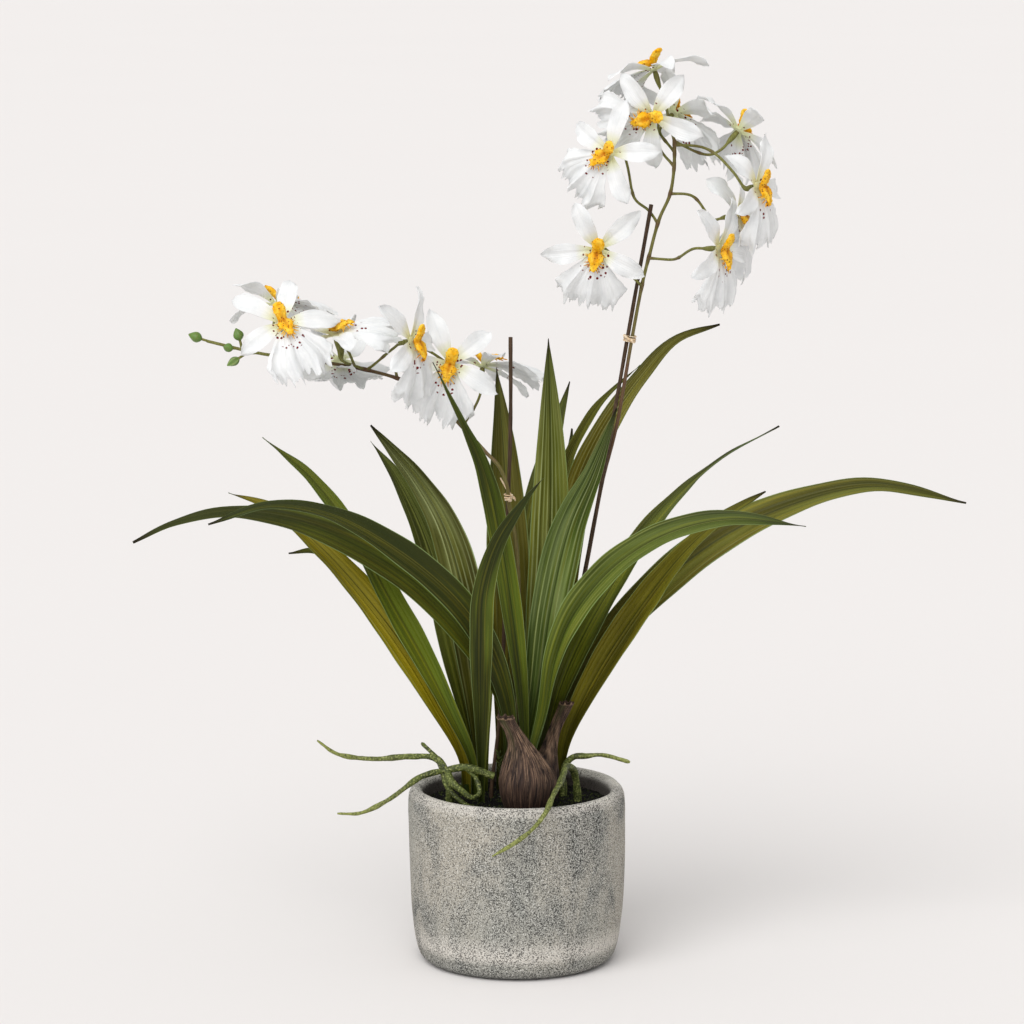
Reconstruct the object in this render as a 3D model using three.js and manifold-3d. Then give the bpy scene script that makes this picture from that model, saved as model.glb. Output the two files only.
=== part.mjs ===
// Potted orchid with strap leaves, two pseudobulbs and two sprays of frilled white flowers.
// Millimetres, +Z up, origin at the centre of the pot's underside. The plant faces -Y.
import * as THREE from "three";
import { mergeVertices } from "three/addons/utils/BufferGeometryUtils.js";
import Module from "manifold-3d";

const wasm = await Module();
wasm.setup();

// Pot and soil
const potHeight = 137;
const potRadius = 84.5;
const potFootRadius = 66;
const potWall = 12;
const potFloor = 14;
const potSides = 32;
const soilTop = 123;
const soilBump = 1.2;
const uprightReach = 6; // whatever stands in the soil is upright this far below and above its top
const gap = 0.35;

// What stands in the soil
const leafFootZ = 103;
const stemFootZ = 96;
const stakeFootZ = 40;
const bulbFootZ = 116;
const rootFootZ = 112;
const holeMargin = 1;

// Leaves
const leafSteps = 10;
const leafThickness = 1.3;
const leafEdgeThickness = 0.8;
const leafFootShare = 0.3;
const leafFootFold = 0.75;
const leafFold = 0.2;
const sheathRadius = 5.6;
const sheathTop = 138;
const pairReach = 1.4; // how much wider the hole of a pair of leaves is

// Stems, stakes, roots and ties; a bar's sides are the corners of its section
const stemSides = 6;
const stalkSides = 5;
const rootSides = 5;
const stakeRadius = 1.5;
const stemRadius = 1.7;
const stemTipRadius = 1.2;
const branchRadius = 1.05;
const ovaryRadius = 2.2;
const ovaryLength = 13;
const stalkLead = 21; // length of the straight run behind a flower
const budTipRadius = 0.8;
const budOverlap = 0.5;
const budStalkSides = 4;
const rootRadius = 2.5;
const rootTipRadius = 1.3;
const tieHeight = 5;
const tieClearance = 0.6;
const tieThickness = 1;

// Flowers. Slopes are angles to the flower's own plane, in degrees, where a petal leaves the hub
// and at its tip; each spread is the most that one petal strays from its slope.
const petalCount = 5;
const petalLength = 40;
const petalWidth = 16;
const petalThickness = 0.9;
const petalEdgeThickness = 0.7;
const petalStations = [0.27, 0.55, 0.82]; // shares of the length where petalWidths holds
const petalWidths = [0.72, 1, 0.7];
const petalFold = 0.2;
const petalSlopes = [20, -30];
const petalSlopeSpreads = [10, 16];
const petalTwistSpread = 22;
const petalLengthSpread = 0.07;
const lowerPetalSlopes = [-16, -50];
const hubRadius = 4.2;
const hubThickness = 2.4;
const lipLength = 50;
const lipThickness = 1;
const lipSlopes = [14, -34];
const lipSlopeSpread = 8;
const lipRuffle = 3.4;
const lipCurl = 7;
const lipNotch = 0.12;
const lipNotchWidth = 0.15;
const lipShoulder = 0.2;
const lipColumns = 7;
const lipStations = [0, 0.28, 0.52, 0.78, 1]; // shares of the length where lipHalfWidths holds
const lipHalfWidths = [3, 10, 19, 27, 25];

const colour = {
  pot: [0.62, 0.6, 0.55, 0.9],
  soil: [0.09, 0.08, 0.06, 1],
  bulb: [0.36, 0.27, 0.2, 0.85],
  root: [0.38, 0.42, 0.18, 0.75],
  stake: [0.28, 0.2, 0.17, 0.7],
  stem: [0.36, 0.38, 0.17, 0.6],
  tie: [0.85, 0.72, 0.55, 0.8],
  leaf: [0.16, 0.24, 0.07, 0.45],
  petal: [0.95, 0.95, 0.93, 0.6],
  callus: [1, 0.68, 0.06, 0.7],
};

const vector = (p) => new THREE.Vector3(...p);
const radians = THREE.MathUtils.degToRad;
const mix = THREE.MathUtils.lerp;
const smooth = THREE.MathUtils.smoothstep;
const evenly = (steps) => Array.from({ length: steps + 1 }, (_, i) => i / steps);

// Draw between -1 and 1 from a seed, so that every build gives the same part. A flower's seed picks
// how its petals and lip stray from the plain shape.
function draw(seed) {
  const wave = Math.sin(seed * 127.1 + 311.7) * 43758.5453;
  return 2 * (wave - Math.floor(wave)) - 1;
}

// A closed surface gathered point by point.
class Skin {
  points = [];
  faces = [];

  add(point) {
    this.points.push(point.clone());
    return this.points.length - 1;
  }

  ring(points) {
    return points.map((point) => this.add(point));
  }

  // Four corners in order round the face, split from the first to the third.
  quad(a, b, c, d) {
    this.faces.push(a, b, c, a, c, d);
  }

  // Walls between two rings with the same number of points.
  join(from, to) {
    const count = from.length;
    for (let k = 0; k < count; k++) {
      const next = (k + 1) % count;
      this.quad(from[k], from[next], to[next], to[k]);
    }
  }

  // Walls between two blade sections of six points: three over the top, three back underneath.
  // The split lines underneath lie right below those on top.
  joinBlade(from, to) {
    for (let k = 0; k < 6; k++) {
      const next = (k + 1) % 6;
      if (k < 3) this.quad(from[k], from[next], to[next], to[k]);
      else this.quad(from[next], to[next], to[k], from[k]);
    }
  }

  // Flat end over a ring, seen from outside with its points in order.
  cap(ring) {
    for (let k = 1; k < ring.length - 1; k++) this.faces.push(ring[0], ring[k], ring[k + 1]);
  }

  capBlade([l, m, r, rb, mb, lb]) {
    this.faces.push(l, m, mb, l, mb, lb, m, r, rb, m, rb, mb);
  }

  // Blade drawn to a point, with one tip above the other.
  pointBlade([l, m, r, rb, mb, lb], tip, tipBelow) {
    this.faces.push(l, m, tip, m, r, tip, rb, mb, tipBelow, mb, lb, tipBelow);
    this.quad(r, rb, tipBelow, tip);
    this.quad(lb, l, tip, tipBelow);
  }

  geometry() {
    const made = new THREE.BufferGeometry().setFromPoints(this.points);
    made.setIndex(this.faces);
    return made;
  }
}

function solid(geometry) {
  const bare = geometry.clone();
  bare.deleteAttribute("normal");
  bare.deleteAttribute("uv");
  const merged = mergeVertices(bare, 1e-3);
  return new wasm.Manifold(
    new wasm.Mesh({
      numProp: 3,
      vertProperties: new Float32Array(merged.attributes.position.array),
      triVerts: new Uint32Array(merged.index.array),
    }),
  );
}

function geometryOf(body) {
  const mesh = body.getMesh();
  const made = new THREE.BufferGeometry();
  const points = new Float32Array(mesh.numVert * 3);
  for (let i = 0; i < mesh.numVert; i++) {
    points.set(mesh.vertProperties.subarray(i * mesh.numProp, i * mesh.numProp + 3), i * 3);
  }
  made.setAttribute("position", new THREE.BufferAttribute(points, 3));
  made.setIndex(Array.from(mesh.triVerts));
  return made;
}

function fuse(geometries) {
  return geometryOf(geometries.map(solid).reduce((all, next) => all.add(next)));
}

function cut(geometry, tools) {
  return geometryOf(tools.map(solid).reduce((left, tool) => left.subtract(tool), solid(geometry)));
}

// Closed body through oval sections: centre, two half axes and the vectors they lie along.
function loft(sections, sides) {
  const skin = new Skin();
  const rings = sections.map(({ centre, side, rise, wide, thick }) => {
    const points = [];
    for (let k = 0; k < sides; k++) {
      const angle = (2 * Math.PI * k) / sides;
      const point = centre.clone().addScaledVector(side, wide * Math.cos(angle));
      points.push(point.addScaledVector(rise, thick * Math.sin(angle)));
    }
    return skin.ring(points);
  });
  for (let i = 0; i < rings.length - 1; i++) skin.join(rings[i], rings[i + 1]);
  skin.cap([...rings[0]].reverse());
  skin.cap(rings[rings.length - 1]);
  return skin.geometry();
}

// Upright turned body from [x, y, z, radius] levels.
function turned(levels, sides) {
  const side = new THREE.Vector3(1, 0, 0);
  const rise = new THREE.Vector3(0, 1, 0);
  const sections = levels.map(([x, y, z, radius]) => {
    return { centre: new THREE.Vector3(x, y, z), side, rise, wide: radius, thick: radius };
  });
  return loft(sections, sides);
}

const curveThrough = (points) => new THREE.CatmullRomCurve3(points, false, "centripetal");

// Round bar along a curve; stations and radiusAt both run from 0 at its start to 1 at its end.
function bar(curve, radiusAt, sides, stations) {
  const start = curve.getTangentAt(0);
  let side = Math.abs(start.y) > 0.9 ? new THREE.Vector3(0, 0, 1) : new THREE.Vector3(0, 1, 0);
  const sections = stations.map((s) => {
    const along = curve.getTangentAt(s);
    side = side.clone().addScaledVector(along, -side.dot(along)).normalize();
    const rise = new THREE.Vector3().crossVectors(along, side);
    return { centre: curve.getPointAt(s), side, rise, wide: radiusAt(s), thick: radiusAt(s) };
  });
  return loft(sections, sides);
}

// Curve that stands upright in the soil at its foot and then follows the path.
function rooted([x, y], footZ, path) {
  const levels = [footZ, soilTop - uprightReach, soilTop + uprightReach];
  return curveThrough([...levels.map((z) => vector([x, y, z])), ...path.map(vector)]);
}

// Stations along a rooted curve: its foot, where it leaves the soil, and even steps from there.
function rootedStations(curve, footZ, steps) {
  const exit = (soilTop + uprightReach - footZ) / curve.getLength();
  return [0, ...evenly(steps - 1).map((s) => mix(exit, 1, s))];
}

// Share of the curve's length at which it passes closest to a point.
function shareNear(curve, point) {
  const shares = evenly(400);
  const distances = shares.map((s) => curve.getPointAt(s).distanceTo(point));
  return shares[distances.indexOf(Math.min(...distances))];
}

// Six points of a blade's section: a shallow channel, its edges raised by the fold angle.
function bladeSection(centre, along, face, half, fold, middle, edge) {
  const across = new THREE.Vector3().crossVectors(along, face).normalize();
  const up = new THREE.Vector3().crossVectors(across, along).normalize();
  const at = (side, lift) =>
    centre
      .clone()
      .addScaledVector(across, side * half * Math.cos(fold))
      .addScaledVector(up, Math.abs(side) * half * Math.sin(fold) + lift);
  const top = [at(-1, edge / 2), at(0, middle / 2), at(1, edge / 2)];
  return [...top, at(1, -edge / 2), at(0, -middle / 2), at(-1, -edge / 2)];
}

const plant = new THREE.Group();
const holes = [];

function addMesh(parent, name, geometry, kind) {
  const [red, green, blue, roughness] = colour[kind];
  const material = new THREE.MeshStandardMaterial({
    color: new THREE.Color(red, green, blue),
    roughness,
    metalness: 0,
  });
  const mesh = new THREE.Mesh(geometry, material);
  mesh.name = name;
  parent.add(mesh);
}

// Keeps a hole in the soil for a body of this radius that stands at x, y down to footZ.
function keepHole([x, y], footZ, radius, sides) {
  const reach = radius / Math.cos(Math.PI / sides);
  holes.push(turned([[x, y, footZ - gap, reach], [x, y, soilTop + 3 * soilBump, reach]], sides));
}

// Share of a leaf's full width from its foot (0) to its drawn-out tip (1).
function leafShape(s) {
  const swell = mix(leafFootShare, 1, smooth(s, 0.02, 0.5));
  const taper = s < 0.6 ? 1 : 1 - Math.pow((s - 0.6) / 0.4, 1.5);
  return Math.max(swell * taper, 0.05);
}

// Strap leaf: foot gives where it stands in the soil, path its later midline points.
function leafGeometry({ foot, path, width, faces }) {
  const curve = rooted(foot, leafFootZ, path);
  const [faceLow, faceHigh] = faces.map(vector);
  const skin = new Skin();
  const rings = rootedStations(curve, leafFootZ, leafSteps).map((s) => {
    const along = curve.getTangentAt(s);
    const face = faceLow.clone().lerp(faceHigh, smooth(s, 0.1, 0.9));
    const half = (width / 2) * leafShape(s);
    const fold = mix(leafFootFold, leafFold, smooth(s, 0, 0.45));
    const middle = mix(leafThickness, leafEdgeThickness, s);
    return skin.ring(bladeSection(curve.getPointAt(s), along, face, half, fold, middle, leafEdgeThickness));
  });
  for (let i = 0; i < leafSteps; i++) skin.joinBlade(rings[i], rings[i + 1]);
  skin.capBlade([...rings[0]].reverse());
  skin.capBlade(rings[leafSteps]);
  return skin.geometry();
}

// Leaf nodes. A pair grows from one sheath. Each leaf has its foot on the soil, the later points
// of its midline, its full width, and which way its upper side faces near the foot and at the tip.
const leafNodes = {
  leaf_front: [
    {
      foot: [-28, -4], width: 18, faces: [[0.3, -1, 0.1], [0.2, -0.8, 0.55]],
      path: [
        [-28, -13, 205], [-28, -26, 252], [-26, -38, 297], [-15, -50, 336], [4, -64, 369], [20, -76, 391],
      ],
    },
  ],
  leaf_pair_left_arching: [
    {
      foot: [-4, 13], width: 23, faces: [[-0.2, -0.9, 0.4], [0, -0.6, 0.8]],
      path: [
        [-6, 6, 195], [-22, -10, 248], [-45, -18, 285], [-90, -28, 326], [-142, -35, 356], [-188, -41, 364],
        [-234, -46, 350],
      ],
    },
    {
      foot: [-6, 15], width: 26, faces: [[-0.2, -0.9, 0.4], [0, -0.6, 0.8]],
      path: [
        [-8, 8, 198], [-26, 3, 236], [-68, -1, 288], [-115, -5, 322], [-167, -10, 345], [-223, -17, 354],
        [-262, -23, 347], [-293, -27, 333],
      ],
    },
  ],
  leaf_pair_left_outer: [
    {
      foot: [-40, 25], width: 27, faces: [[0.3, -0.9, 0.2], [0.5, -0.6, 0.6]],
      path: [
        [-43, 24, 155], [-62, 24, 195], [-86, 24, 238], [-120, 25, 284], [-153, 28, 320], [-187, 32, 348],
        [-224, 36, 361],
      ],
    },
    {
      foot: [-42, 28], width: 17, faces: [[0.3, -0.9, 0.2], [0.5, -0.6, 0.6]],
      path: [
        [-43, 32, 158], [-68, 38, 202], [-100, 46, 249], [-135, 54, 293], [-158, 58, 311], [-179, 60, 309],
      ],
    },
  ],
  leaf_left_back: [
    {
      foot: [-34, 13], width: 22, faces: [[0.5, -0.85, 0.1], [0.6, -0.65, 0.5]],
      path: [
        [-36, 13, 154], [-54, 12, 196], [-72, 12, 233], [-98, 15, 280], [-125, 24, 328], [-160, 44, 371],
        [-199, 66, 400],
      ],
    },
  ],
  leaf_pair_left_upright: [
    {
      foot: [-27, 35], width: 32, faces: [[0.1, -1, 0.1], [0.35, -0.8, 0.45]],
      path: [
        [-29, 34, 169], [-32, 34, 215], [-41, 37, 276], [-57, 50, 331], [-78, 66, 365], [-115, 84, 407],
      ],
    },
    {
      foot: [-29, 37], width: 26, faces: [[0.1, -1, 0.1], [0.35, -0.8, 0.45]],
      path: [
        [-34, 39, 164], [-43, 48, 208], [-59, 68, 278], [-77, 86, 329], [-98, 102, 367], [-116, 112, 390],
      ],
    },
  ],
  leaf_left_slender: [
    {
      foot: [7, 18], width: 17, faces: [[0.2, -1, 0.1], [-0.5, -0.85, 0.1]],
      path: [
        [4, 13, 203], [-3, 6, 268], [-13, -4, 335], [-25, -22, 389], [-46, -50, 440], [-63, -68, 477],
      ],
    },
  ],
  leaf_centre_left: [
    {
      foot: [-12, 43], width: 34, faces: [[0, -1, 0.1], [0.1, -0.9, 0.4]],
      path: [[-6, 44, 243], [-8, 47, 330], [-11, 48, 401], [-16, 44, 458]],
    },
  ],
  leaf_centre: [
    {
      foot: [12, 38], width: 32, faces: [[0, -1, 0.1], [0, -1, 0.1]],
      path: [[15, 36, 180], [21, 31, 250], [25, 24, 320], [26, 20, 400], [24, 18, 484]],
    },
  ],
  leaf_pair_centre_back: [
    {
      foot: [1, 56], width: 27, faces: [[0, -1, 0.1], [-0.1, -0.85, 0.5]],
      path: [[3, 60, 208], [8, 72, 286], [18, 91, 352], [32, 112, 403], [42, 126, 436]],
    },
    {
      foot: [3, 58], width: 26, faces: [[-0.2, -1, 0.1], [-0.4, -0.7, 0.5]],
      path: [[9, 68, 206], [22, 88, 266], [33, 112, 325], [42, 130, 371], [44, 142, 396]],
    },
  ],
  leaf_centre_right: [
    {
      foot: [3, 29], width: 31, faces: [[-0.2, -1, 0.1], [-0.3, -0.9, 0.3]],
      path: [[17, 20, 208], [27, 10, 279], [41, 3, 341], [59, -3, 384], [76, -10, 434]],
    },
  ],
  leaf_right_thin: [
    {
      foot: [17, 60], width: 14, faces: [[-0.6, -0.8, 0.2], [-0.3, -0.6, 0.7]],
      path: [[23, 58, 200], [28, 53, 289], [37, 47, 375], [57, 42, 420], [73, 36, 441], [95, 29, 462]],
    },
  ],
  leaf_right_high: [
    {
      foot: [29, 54], width: 26, faces: [[-0.4, -0.9, 0.2], [-0.1, -0.6, 0.8]],
      path: [
        [30, 61, 199], [36, 66, 271], [47, 70, 350], [68, 72, 402], [98, 76, 447], [125, 81, 475],
        [159, 90, 486],
      ],
    },
  ],
  leaf_right_middle: [
    {
      foot: [22, 31], width: 26, faces: [[-0.3, -0.95, 0.1], [-0.85, -0.25, 0.5]],
      path: [[27, 29, 182], [45, 23, 236], [80, 22, 300], [117, 32, 350], [158, 49, 385], [205, 64, 409]],
    },
  ],
  leaf_right_front: [
    {
      foot: [5, 3], width: 30, faces: [[-0.8, -0.4, 0.3], [0.1, -0.6, 0.8]],
      path: [
        [22, 0, 192], [30, -8, 239], [44, -19, 276], [74, -31, 315], [114, -45, 343], [160, -57, 356],
        [217, -71, 353],
      ],
    },
  ],
  leaf_pair_right_long: [
    {
      foot: [34, 34], width: 24, faces: [[-0.4, -0.9, 0.1], [-0.1, -0.6, 0.8]],
      path: [[39, 32, 167], [62, 27, 219], [99, 17, 279], [132, 4, 323], [160, -5, 350], [190, -12, 370]],
    },
    {
      foot: [36, 38], width: 32, faces: [[-0.4, -0.9, 0.1], [-0.1, -0.5, 0.87]],
      path: [
        [39, 50, 183], [63, 51, 231], [110, 54, 283], [160, 58, 322], [214, 62, 347], [278, 67, 361],
        [353, 74, 347],
      ],
    },
  ],
};

for (const [name, leaves] of Object.entries(leafNodes)) {
  const middle = [0, 1].map((axis) => leaves.reduce((sum, { foot }) => sum + foot[axis], 0) / leaves.length);
  const blades = leaves.map(leafGeometry);
  const footReach = Math.max(...leaves.map(({ width }) => (width / 2) * leafFootShare));
  if (leaves.length > 1) {
    blades.push(turned([[...middle, leafFootZ, sheathRadius], [...middle, sheathTop, sheathRadius]], 8));
  }
  keepHole(middle, leafFootZ, footReach + holeMargin + (leaves.length > 1 ? pairReach : 0), 6);
  addMesh(plant, name, blades.length > 1 ? fuse(blades) : blades[0], "leaf");
}

// Pseudobulbs: levels of [x, y, z, radius] that end in a cut neck, open at the top.
const bulbs = {
  bulb_front: [
    [8, -27, bulbFootZ, 16.5], [8, -27, 126, 17.5], [8, -27, 136, 20.6], [8, -27, 147, 21.8],
    [7, -27, 156, 19.5], [5, -27, 166, 15], [2, -26, 175, 10.5], [-2, -26, 184, 7.4],
    [-7, -25, 192, 6.6], [-9, -25, 196, 6.6], [-9, -25, 196, 4.8], [-6.5, -25.2, 190, 4.4],
  ],
  bulb_back: [
    [22, 10, bulbFootZ, 10], [22, 10, 128, 10.2], [22, 10, 142, 10.5], [23, 11, 154, 8.5], [25, 12, 164, 6],
    [28, 13, 174, 4.6], [32, 14, 184, 4.6], [36.5, 15, 194, 5.2], [38.5, 15, 199, 5.6],
    [38.5, 15, 199, 4.2], [35.8, 14.6, 193, 3.8],
  ],
};

for (const [name, levels] of Object.entries(bulbs)) {
  const [x, y, , radius] = levels[1];
  keepHole([x, y], bulbFootZ, radius + gap, 16);
  addMesh(plant, name, turned(levels, 10), "bulb");
}

// Aerial roots: the first path of each node stands in the soil, the others branch from it.
const roots = {
  root_left: [
    [
      [-52, -20], [-54, -22, 150], [-62, -14, 161], [-83, -10, 162], [-110, -14, 161], [-139, -18, 166],
      [-154, -20, 177],
    ],
    [[-56, -21, 153], [-62, -8, 160], [-74, 2, 170]],
    [
      [-18, -21, 149], [-39, -22, 156], [-54, -22, 154], [-74, -28, 150], [-98, -34, 134], [-120, -38, 124],
      [-138, -40, 124],
    ],
    [
      [-54, -22, 153], [-50, -30, 146], [-42, -34, 140], [-35, -34, 135], [-29, -28, 137], [-32, -23, 148],
      [-40, -22, 155],
    ],
  ],
  root_front: [
    [
      [47, 0], [44, -8, 150], [38, -24, 157], [34, -50, 153], [27, -76, 146], [21, -90, 136], [12, -93, 125],
      [-2, -94, 114], [-19, -95, 104],
    ],
  ],
  root_right: [[[36, 20], [37, 20, 147], [44, 19, 155], [54, 18, 156], [66, 17.5, 157], [88, 14, 152]]],
};

const rootTaper = (s) => mix(rootRadius, rootTipRadius, s);
const sideRootTaper = (s) => 0.85 * rootTaper(s);

for (const [name, [main, ...branches]] of Object.entries(roots)) {
  const [foot, ...path] = main;
  const curve = rooted(foot, rootFootZ, path);
  const bars = [bar(curve, rootTaper, rootSides, rootedStations(curve, rootFootZ, 10))];
  for (const branch of branches) {
    bars.push(bar(curveThrough(branch.map(vector)), sideRootTaper, rootSides, evenly(7)));
  }
  keepHole(foot, rootFootZ, rootRadius + holeMargin, 6);
  addMesh(plant, name, bars.length > 1 ? fuse(bars) : bars[0], "root");
}

// Stalk and ovary that carry a flower: from a point on the stem to just behind the hub.
function stalkGeometry(stem, { at, face, joint, via = [], lead = stalkLead, steps = 3 }) {
  const centre = vector(at);
  const back = vector(face).normalize().negate();
  const start = stem.getPointAt(shareNear(stem, vector(joint)));
  const approach = centre.clone().addScaledVector(back, lead);
  const ovaryMiddle = centre.clone().addScaledVector(back, lead / 2);
  const end = centre.clone().addScaledVector(back, hubThickness / 2 + 2 * gap);
  const curve = curveThrough([start, ...via.map(vector), approach, ovaryMiddle, end]);
  const length = curve.getLength();
  const swell = 1 - ovaryLength / length;
  const stations = [...evenly(steps).map((s) => s * swell), mix(swell, 1, 0.4), 1];
  const radiusAt = (s) => {
    const share = Math.max(0, (s - swell) / (1 - swell));
    return mix(branchRadius, ovaryRadius, Math.sin(share * 0.75 * Math.PI));
  };
  return bar(curve, radiusAt, stalkSides, stations);
}

// Bud on a short stalk; the stalk starts on the stem near its first point.
function budGeometries(stem, { path, radius, length }) {
  const points = path.map(vector);
  points[0] = stem.getPointAt(shareNear(stem, points[0]));
  const end = points[points.length - 1];
  const along = end.clone().sub(points[points.length - 2]).normalize();
  const budStart = end.clone().addScaledVector(along, -budOverlap);
  const budCurve = curveThrough([budStart, end.clone().addScaledVector(along, length)]);
  const budRadius = (s) => mix(budTipRadius, radius, Math.sin(Math.PI * Math.pow(s, 0.8)));
  return [
    bar(curveThrough(points), () => branchRadius, budStalkSides, evenly(3)),
    bar(budCurve, budRadius, stemSides, evenly(4)),
  ];
}

// Flowers: centre, the way the flower faces, the way its upper side points, and where its stalk
// leaves the stem and passes on its way.
const rightFlowers = {
  top: {
    at: [104, 14, 690], face: [-0.3, 0.15, 0.94], up: [0.75, -0.6, 0.3],
    joint: [116, -1, 636], seed: 20,
  },
  crown: {
    at: [102, -10, 656], face: [-0.25, -0.95, -0.1], up: [0.95, -0.2, 0.3],
    joint: [119, 2, 618], via: [[108, 4, 632]], seed: 22,
  },
  crown_back: {
    at: [119, 26, 656], face: [0.5, 0.6, 0.6], up: [-0.5, 0, 0.8],
    joint: [119, 0, 628], seed: 31,
  },
  left_high: {
    at: [70, -14, 629], face: [-0.5, -0.85, 0.1], up: [0.83, 0, 0.55],
    joint: [106, 4, 574], via: [[100, 13, 583], [90, 13, 592]], steps: 5,
  },
  left_low: {
    at: [61, -16, 556], face: [-0.1, -0.98, -0.1], up: [0.2, 0, 0.97],
    joint: [95, 10, 525], via: [[92, 5, 529]], steps: 5,
  },
  back: {
    at: [168, 10, 644], face: [0.62, 0.42, 0.66], up: [-0.2, -0.73, 0.65],
    joint: [121, 0, 636], via: [[145, 0, 626]], seed: 42,
  },
  outer_high: {
    at: [180, -30, 605], face: [0.8, -0.55, 0.2], up: [-0.3, 0, 0.95],
    joint: [121, 0, 634], via: [[142, -6, 632], [162, -18, 616]], lead: 10, seed: 22,
  },
  outer_middle: {
    at: [167, -4, 581], face: [0.9, -0.4, 0.2], up: [-0.2, 0, 1],
    joint: [117, 3, 596], via: [[133, 4, 595]], seed: 20,
  },
  outer_low: {
    at: [151, -48, 560], face: [0.8, -0.58, 0.05], up: [-0.2, 0, 1],
    joint: [101, 7, 546], via: [[118, -2, 547]],
  },
};

const leftFlowers = {
  tip_front: {
    at: [-177, -40, 503], face: [0.1, -0.78, 0.62], up: [-0.45, 0.5, 0.7],
    joint: [-159, -6, 470], seed: 49,
  },
  tip_back: {
    at: [-184, 20, 510], face: [0.1, 0.45, 0.9], up: [-1, 0, 0.1],
    joint: [-165, -6, 471], seed: 42,
  },
  high: {
    at: [-138, -20, 492], face: [-0.2, -0.3, 0.93], up: [-1, 0, -0.2],
    joint: [-115, -2, 461], seed: 22,
  },
  low_back: {
    at: [-136, 30, 466], face: [-0.1, 0.5, -0.85], up: [-0.2, 0.9, 0.4],
    joint: [-124, 4, 462], seed: 28,
  },
  middle: {
    at: [-80, -30, 488], face: [0.85, -0.48, 0.2], up: [-0.35, 0, 0.92],
    joint: [-114, 6, 460], via: [[-100, -4, 474]], lead: 10, seed: 33,
  },
  front: {
    at: [-51, 8, 466], face: [0, -0.97, 0.2], up: [0.25, 0, 0.97],
    joint: [-93, 18, 453], via: [[-94, 22, 468], [-80, 30, 477]],
  },
  back: { at: [-27, 62, 457], face: [0.05, 0.3, 0.95], up: [-1, 0, 0.1], joint: [-40, 20, 416] },
};

const leftBuds = [
  { path: [[-232, -10, 484], [-240, -10, 487]], radius: 4.2, length: 11 },
  { path: [[-197, -8, 476], [-208, -8, 477], [-211, -8, 486]], radius: 4.3, length: 10 },
  { path: [[-204, -8, 477], [-212, -8, 472]], radius: 3.6, length: 11 },
  { path: [[-214, -8, 479], [-217, -11, 480]], radius: 3.6, length: 9 },
];

// A stem with its flower stalks and buds, and a station at each place where something joins it.
function stemGeometry(stem, flowers, buds, tieAt) {
  const joints = [...Object.values(flowers).map(({ joint }) => joint), ...buds.map(({ path }) => path[0])];
  const shares = [...joints, tieAt].map((joint) => shareNear(stem, vector(joint)));
  const stations = [...new Set([...rootedStations(stem, stemFootZ, 12), ...shares])];
  stations.sort((a, b) => a - b);
  const bars = [bar(stem, (s) => mix(stemRadius, stemTipRadius, s), stemSides, stations)];
  for (const flower of Object.values(flowers)) bars.push(stalkGeometry(stem, flower));
  for (const bud of buds) bars.push(...budGeometries(stem, bud));
  return fuse(bars);
}

const rightStemFoot = [22, 44];
const rightStem = rooted(rightStemFoot, stemFootZ, [
  [27, 43.5, 150], [41.3, 42.2, 237], [54.5, 36, 306], [66.8, 30.8, 374], [73.8, 27.2, 402],
  [78, 22.4, 422], [82.2, 17.2, 448], [88.1, 13.8, 485], [96.2, 9.4, 530], [101.5, 7, 552],
  [108, 4, 577], [116, 2, 596], [119, 0, 618], [119, -1, 638],
]);
const leftStemFoot = [-7, 32];
const leftStem = rooted(leftStemFoot, stemFootZ, [
  [-2, 29, 162], [2, 26, 239], [1, 21, 298], [-2, 15.5, 334], [-6.4, 12.4, 356], [-7.4, 12, 369],
  [-14, 11, 386], [-23, 15, 395], [-44, 21, 417], [-78, 23, 446], [-115, 8, 461], [-159, -4, 470],
  [-197, -8, 476], [-236, -10, 485.5],
]);
const rightTieAt = [86, 14, 485];
const leftTieAt = [-7, 14, 361];
addMesh(plant, "stem_right", stemGeometry(rightStem, rightFlowers, [], rightTieAt), "stem");
addMesh(plant, "stem_left", stemGeometry(leftStem, leftFlowers, leftBuds, leftTieAt), "stem");
keepHole(rightStemFoot, stemFootZ, stemRadius + holeMargin, 6);
keepHole(leftStemFoot, stemFootZ, stemRadius + holeMargin, 6);

const stakes = {
  stake_right: {
    foot: [14, 48],
    path: [
      [19, 46.5, 155], [40, 38, 236], [66, 26.5, 374], [78.6, 18.4, 448], [84.6, 14.2, 485], [102, 6, 588],
    ],
  },
  stake_left: {
    foot: [-20, 11],
    path: [[-13, 14, 195], [-7, 16.2, 353], [-5, 17, 422], [-5, 18, 485]],
  },
};

const stakeCurves = {};
for (const [name, { foot, path }] of Object.entries(stakes)) {
  const curve = rooted(foot, stakeFootZ, path);
  stakeCurves[name] = curve;
  keepHole(foot, stakeFootZ, stakeRadius + holeMargin, 6);
  const stations = rootedStations(curve, stakeFootZ, 9);
  addMesh(plant, name, bar(curve, () => stakeRadius, stemSides, stations), "stake");
}

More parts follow.
